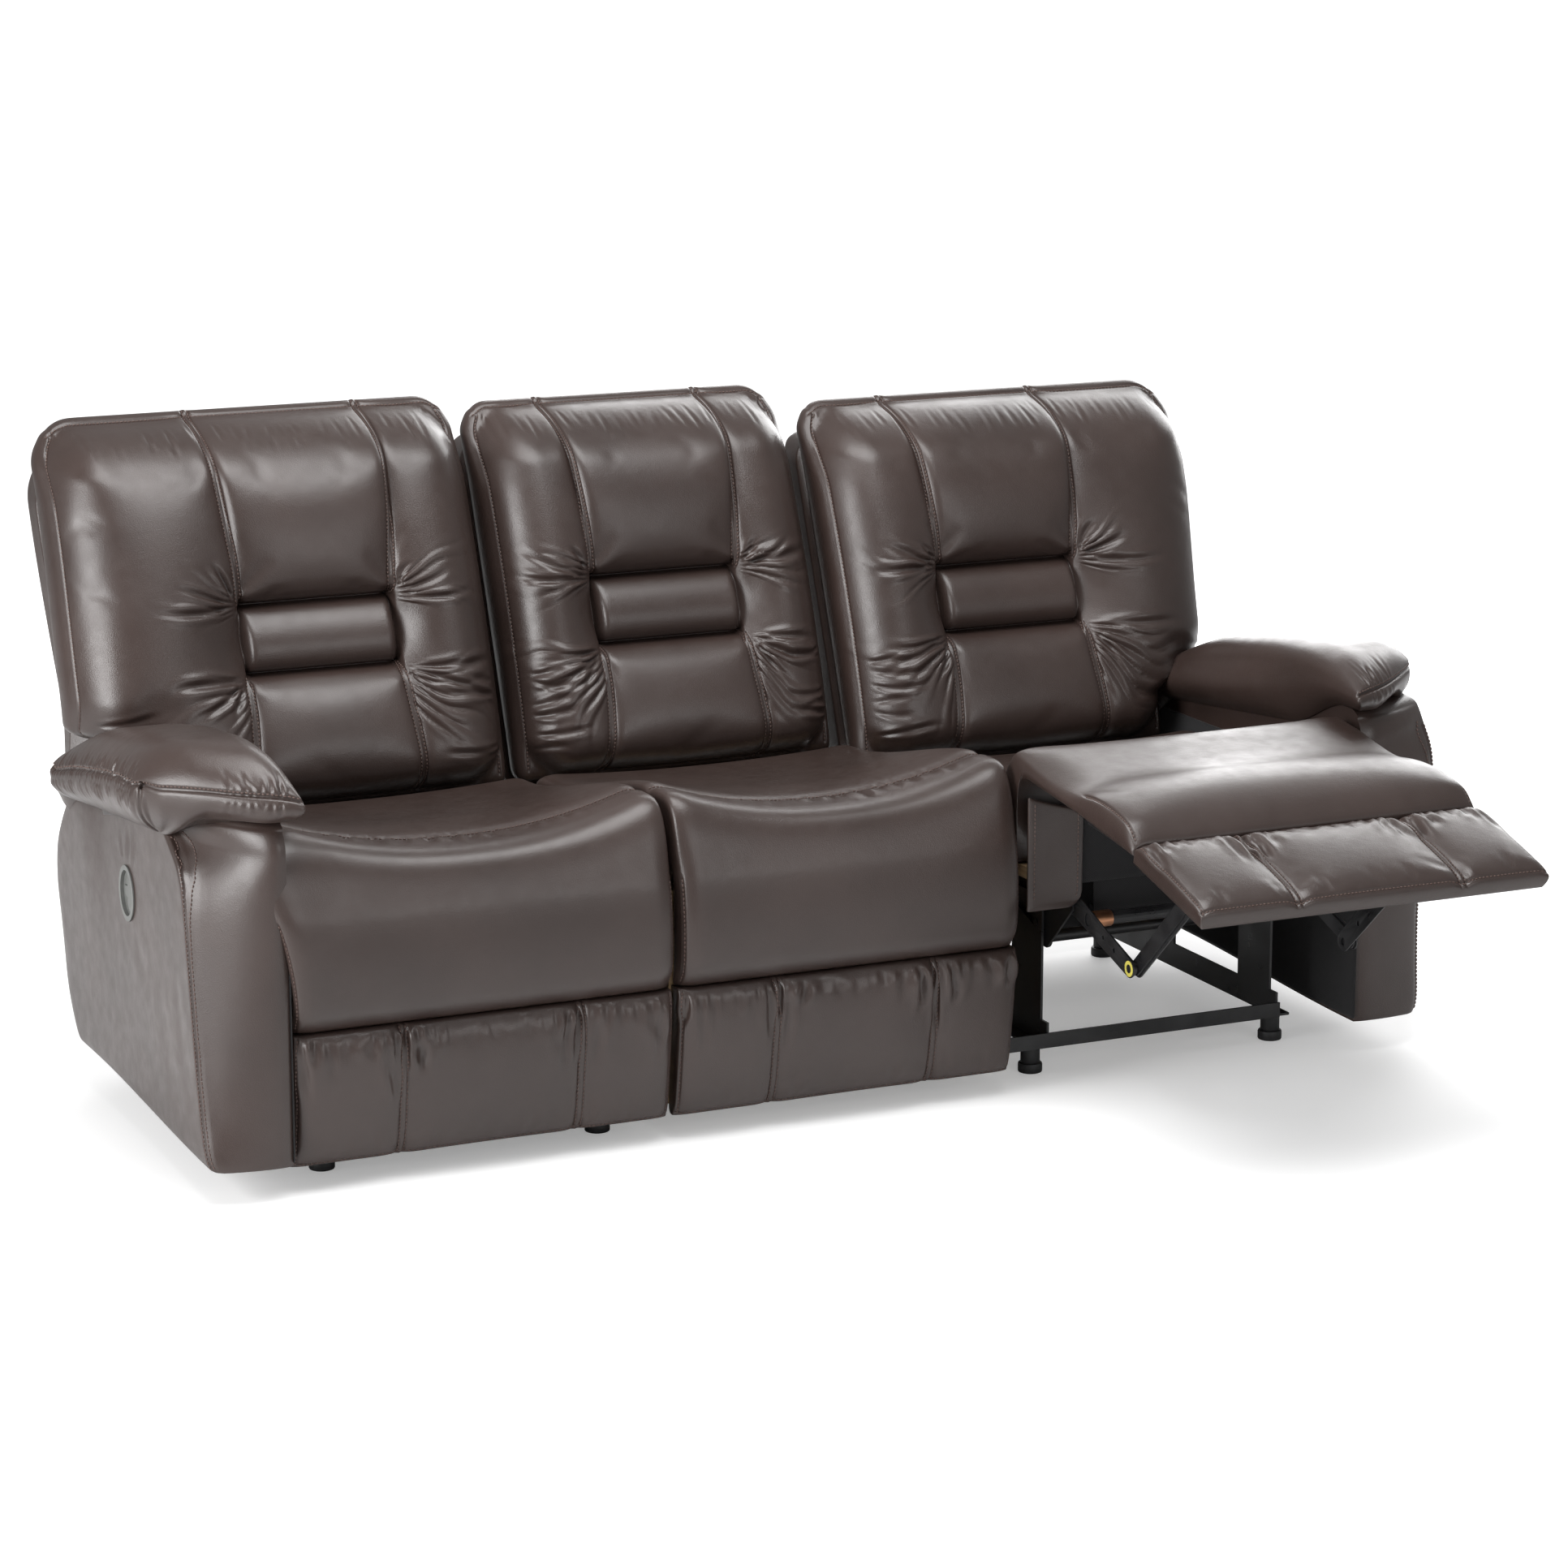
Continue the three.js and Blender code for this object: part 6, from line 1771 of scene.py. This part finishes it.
def linkage_details(word):
    """Levers, rivets, washers, sleeves, cross tubes and springs of one end seat."""
    lift, elbow, foot = pivots(word)
    shift = travelled(np.zeros((1, 3)), word)[0][1:]
    seat = np.array([ARM_FRONT, 0]) + shift
    tube = mix(lift, elbow, TUBE_SHARE)
    folded = 1 - OPEN[word]
    board = foot + mix(np.array([0.085, 0.034]), np.array([-0.034, 0.085]), folded)
    on_lift, on_links, on_foot, on_seat = [], [], [], []
    sleeves, washers, heads, links_heads = [], [], [], []
    for reach in (-1, 1):
        holes = ((0, 0.0067), (0.4, 0.0112), (0.62, 0.004), (0.78, 0.004), (1, 0.0067))
        on_lift.append(lever(word, reach, LIFT_COVER, lift, elbow, (0.019, 0.014), holes))
        holes = ((0, 0.0065), (0.22, 0.0045), (0.5, 0.0045), (0.78, 0.0045), (1, 0.0067))
        on_links.append(lever(word, reach, UPPER_COVER, elbow, foot, (0.015, 0.019), holes))
        on_foot.append(lever(word, reach, BOARD_BRACKET, foot, board, (0.020, 0.015), ((0, 0.006), (0.55, 0.005))))
        for y0, z0, y1, z1, low, high, big, small in (
            (0.250, 0.268, 0.420, 0.322, 0.160, 0.1635, 0.024, 0.017),
            (0.330, 0.318, 0.400, 0.240, 0.166, 0.1690, 0.018, 0.015),
            (0.400, 0.240, 0.520, 0.300, 0.1715, 0.1745, 0.016, 0.020),
            (0.226, 0.250, 0.352, 0.220, 0.1555, 0.1590, 0.019, 0.015),
            (0.262, 0.215, 0.330, 0.318, 0.1500, 0.1535, 0.017, 0.019),
        ):
            start, end = np.array([y0, z0]) + seat, np.array([y1, z1]) + seat
            holes = ((0, 0.006), (0.35, 0.004), (0.65, 0.004), (1, 0.006))
            on_seat.append(lever(word, reach, (low, high), start, end, (big, small), holes))
        for spot in ((0.250, 0.268), (0.420, 0.322), (0.330, 0.318), (0.400, 0.240), (0.520, 0.300), (0.352, 0.220)):
            spot = np.array(spot) + seat
            heads.append(turned_bar("rivet", *across_bay(word, reach, (0.149, 0.1775)), spot, 0.0068))
        sleeves.append(turned_bar(
            "sleeve", *across_bay(word, reach, (0.190 - SLEEVE_LENGTH, 0.190)), tube, TUBE_RADIUS + 0.0022
        ))
        washers.append(turned_bar("washer", *across_bay(word, reach, (0.1991, 0.1996)), elbow, 0.0125, 0.0002))
        on_lift.append(turned_bar("rivet", *across_bay(word, reach, (0.1925, 0.1998)), elbow, 0.0072))
        links_heads.append(turned_bar("rivet", *across_bay(word, reach, (0.1780, 0.1815)), foot, 0.0085))
    for y, z in CROSS_TUBES:
        spot = np.array([y, z]) + seat
        ends = SIDE[word] * (BAY_CENTRE - 0.1995), SIDE[word] * (BAY_CENTRE + 0.1995)
        on_seat.append(turned_bar("tube", min(ends), max(ends), spot, CROSS_TUBE_RADIUS))
    ends = across_bay(word, 1, (-0.162, 0.162))
    on_seat.append(turned_bar("tube", *ends, np.array(FRONT_TUBE) + seat, CROSS_TUBE_RADIUS))
    gathered(f"{word}_lift_levers", on_lift, BLACK_PAINT, f"{word}_lift")
    gathered(f"{word}_upper_levers", on_links, BLACK_PAINT, f"{word}_links")
    gathered(f"{word}_board_brackets", on_foot + links_heads, BLACK_PAINT, f"{word}_footrest")
    gathered(f"{word}_seat_levers", on_seat + heads, BLACK_PAINT, f"{word}_seat")
    gathered(f"{word}_tube_sleeves", sleeves, COPPER, f"{word}_lift")
    gathered(f"{word}_elbow_washers", washers, NYLON, f"{word}_lift")
    springs = [
        coil_spring(SIDE[word] * (BAY_CENTRE + reach * 0.150), np.array([0.318, 0.290]) + seat, np.array([0.470, 0.322]) + seat)
        for reach in (-1, 1)
    ]
    gathered(f"{word}_springs", springs, BLACK_PAINT, f"{word}_seat")


# Feet

FOOT_PARTS = ((0.0195, 0.000, 0.016), (0.0155, 0.016, 0.0478))


def feet():
    for word in ("left", "right"):
        for place in ("inner", "outer"):
            for end in ("front", "rear"):
                node = f"{word}_{place}_{end}_foot"
                low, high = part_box(node)
                spot = (low + high) / 2
                parts = []
                for radius, bottom, top in FOOT_PARTS:
                    part = turned_bar("foot", bottom, top, (0, 0), radius, 0.0025 if bottom == 0 else 0.0008)
                    shape = places(part)
                    set_places(part, np.stack([shape[:, 1] + spot.x, shape[:, 2] + spot.y, shape[:, 0]], axis=1))
                    parts.append(part)
                piece = gathered(f"{word}_{place}_{end}_glide", parts, BLACK_PLASTIC, "frame")
                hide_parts(node)


# Latches

WELL_X = (1.0040, 1.0052)
PLATE_X = (1.0152, 1.0170)
PADDLE_X = (1.0154, 1.0188)
LATCH_PLATE = (0.0290, 0.0350)
PADDLE_GAP = 0.0046


def paddle_outline(grow):
    """A cross-barred grip, as depth and height about the latch's middle, grown all round."""
    half_y, half_z = LATCH_PLATE[0] * 1.05 + grow, LATCH_PLATE[1] * 0.98 + grow
    bar = ((0.48, -0.72), (0.12, -0.80), (-0.10, -0.62), (-0.10, -0.20), (-0.62, -0.16), (-0.62, 0.24),
           (-0.10, 0.28), (-0.10, 0.62), (0.12, 0.80), (0.48, 0.72), (0.60, 0.45), (0.60, -0.45))
    return [(LATCH[0] + ARM_FRONT - y * half_y, LATCH[1] + z * half_z) for y, z in bar]


def oval(spot, half_y, half_z, steps=48):
    turns = (2 * math.pi * step / steps for step in range(steps))
    return [(spot[0] + half_y * math.cos(turn), spot[1] + half_z * math.sin(turn)) for turn in turns]


def latch(word):
    """A grey plate in the bezel round a paddle that pulls out."""
    side = SIDE[word]
    middle = (LATCH[0] + ARM_FRONT, LATCH[1])
    ends = sorted(side * x for x in PLATE_X)
    plate = flat_plate(f"{word}_latch_plate", [oval(middle, *LATCH_PLATE), paddle_outline(PADDLE_GAP)], *ends)
    dress(plate, GREY_PLASTIC)
    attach(plate, "frame")
    well = flat_plate(f"{word}_latch_well", [oval(middle, *LATCH_PLATE)], *sorted(side * x for x in WELL_X))
    dress(well, BLACK_PLASTIC)
    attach(well, "frame")
    ends = sorted(side * x for x in PADDLE_X)
    paddle = flat_plate(f"{word}_latch_grip", [paddle_outline(0)], *ends)
    dress(paddle, GREY_PLASTIC)
    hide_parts(f"{word}_latch_paddle")
    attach(paddle, f"{word}_latch")


for word in ("left", "centre", "right"):
    back_cushion(word)
    back_cover(word)
    seat_cover(word)
    lower_pad(word)
for word in ("left", "right"):
    arm_cover(word)
    arm_lining(word)
    arm_pillow(word)
    seat_aprons(word)
    linkage_details(word)
    latch(word)
feet()


# Floor, light and camera

FLOOR_NEAR = 0.30
FLOOR_FAR = 1.0


def floor():
    """A pale floor, which the camera sees fade to white away from the sofa."""
    start_clean()
    bpy.ops.mesh.primitive_plane_add(size=120, location=(0, 0, 0))
    ground = bpy.context.object
    ground.name = "floor"
    material, nodes, links, surface = shader("floor", (0.86, 0.86, 0.86), 0.6, specular=0.2)
    seen = nodes.new("ShaderNodeLightPath")
    place = nodes.new("ShaderNodeTexCoord")
    reach = nodes.new("ShaderNodeVectorMath")
    reach.operation = "LENGTH"
    links.new(place.outputs["Object"], reach.inputs[0])
    fade = nodes.new("ShaderNodeMapRange")
    fade.interpolation_type = "SMOOTHSTEP"
    fade.inputs["From Min"].default_value = 1.3
    fade.inputs["From Max"].default_value = 4.5
    fade.inputs["To Min"].default_value = FLOOR_NEAR
    fade.inputs["To Max"].default_value = FLOOR_FAR
    links.new(reach.outputs["Value"], fade.inputs["Value"])
    surface.inputs["Emission Color"].default_value = (1, 1, 1, 1)
    share = nodes.new("ShaderNodeMath")
    share.operation = "MULTIPLY"
    links.new(seen.outputs["Is Camera Ray"], share.inputs[0])
    links.new(fade.outputs["Result"], share.inputs[1])
    links.new(share.outputs["Value"], surface.inputs["Emission Strength"])
    dress(ground, material)


def lamp(name, place, aim, size, size_y, power):
    light = bpy.data.lights.new(name, "AREA")
    light.shape = "RECTANGLE"
    light.size = size
    light.size_y = size_y
    light.energy = power
    holder = bpy.data.objects.new(name, light)
    bpy.context.collection.objects.link(holder)
    holder.location = place
    holder.rotation_euler = (Vector(aim) - Vector(place)).to_track_quat("-Z", "Y").to_euler()
    holder.visible_camera = False


def studio():
    world = bpy.data.worlds.new("studio")
    bpy.context.scene.world = world
    world.use_nodes = True
    nodes, links = world.node_tree.nodes, world.node_tree.links
    background = nodes["Background"]
    seen = nodes.new("ShaderNodeLightPath")
    both = nodes.new("ShaderNodeMath")
    both.operation = "MAXIMUM"
    links.new(seen.outputs["Is Camera Ray"], both.inputs[0])
    links.new(seen.outputs["Is Transmission Ray"], both.inputs[1])
    mirrored = nodes.new("ShaderNodeMath")
    mirrored.operation = "MULTIPLY"
    mirrored.inputs[1].default_value = 0.10
    links.new(seen.outputs["Is Glossy Ray"], mirrored.inputs[0])
    highest = nodes.new("ShaderNodeMath")
    highest.operation = "MAXIMUM"
    links.new(both.outputs["Value"], highest.inputs[0])
    links.new(mirrored.outputs["Value"], highest.inputs[1])
    level = nodes.new("ShaderNodeMapRange")
    level.inputs["To Min"].default_value = 0.30
    level.inputs["To Max"].default_value = 1.0
    links.new(highest.outputs["Value"], level.inputs["Value"])
    background.inputs["Color"].default_value = (1, 1, 1, 1)
    links.new(level.outputs["Result"], background.inputs["Strength"])
    lamp("overhead", (-0.3, -0.4, 3.2), (0, 0, 0.4), 2.6, 1.8, 98)
    lamp("left_window", (-4.2, -0.9, 1.7), (-0.3, 0, 0.5), 2.2, 2.4, 180)
    lamp("front_fill", (1.0, -4.2, 1.8), (0.2, 0, 0.5), 2.2, 1.4, 28)
    lamp("rear_window", (2.5, 3.0, 1.8), (0.7, -0.1, 0.5), 3.4, 2.6, 120)


def camera():
    view = bpy.data.cameras.new("camera")
    view.sensor_width = 36
    view.lens = 36 * 5509 / 1932
    view.clip_end = 200
    holder = bpy.data.objects.new("camera", view)
    bpy.context.collection.objects.link(holder)
    holder.location = (-2.837, -5.887 + ARM_FRONT, 2.051)
    holder.rotation_euler = (math.radians(90 - 13.10), 0, math.radians(-24.80))
    bpy.context.scene.camera = holder


floor()
studio()
camera()
bpy.context.scene.view_settings.view_transform = "Standard"
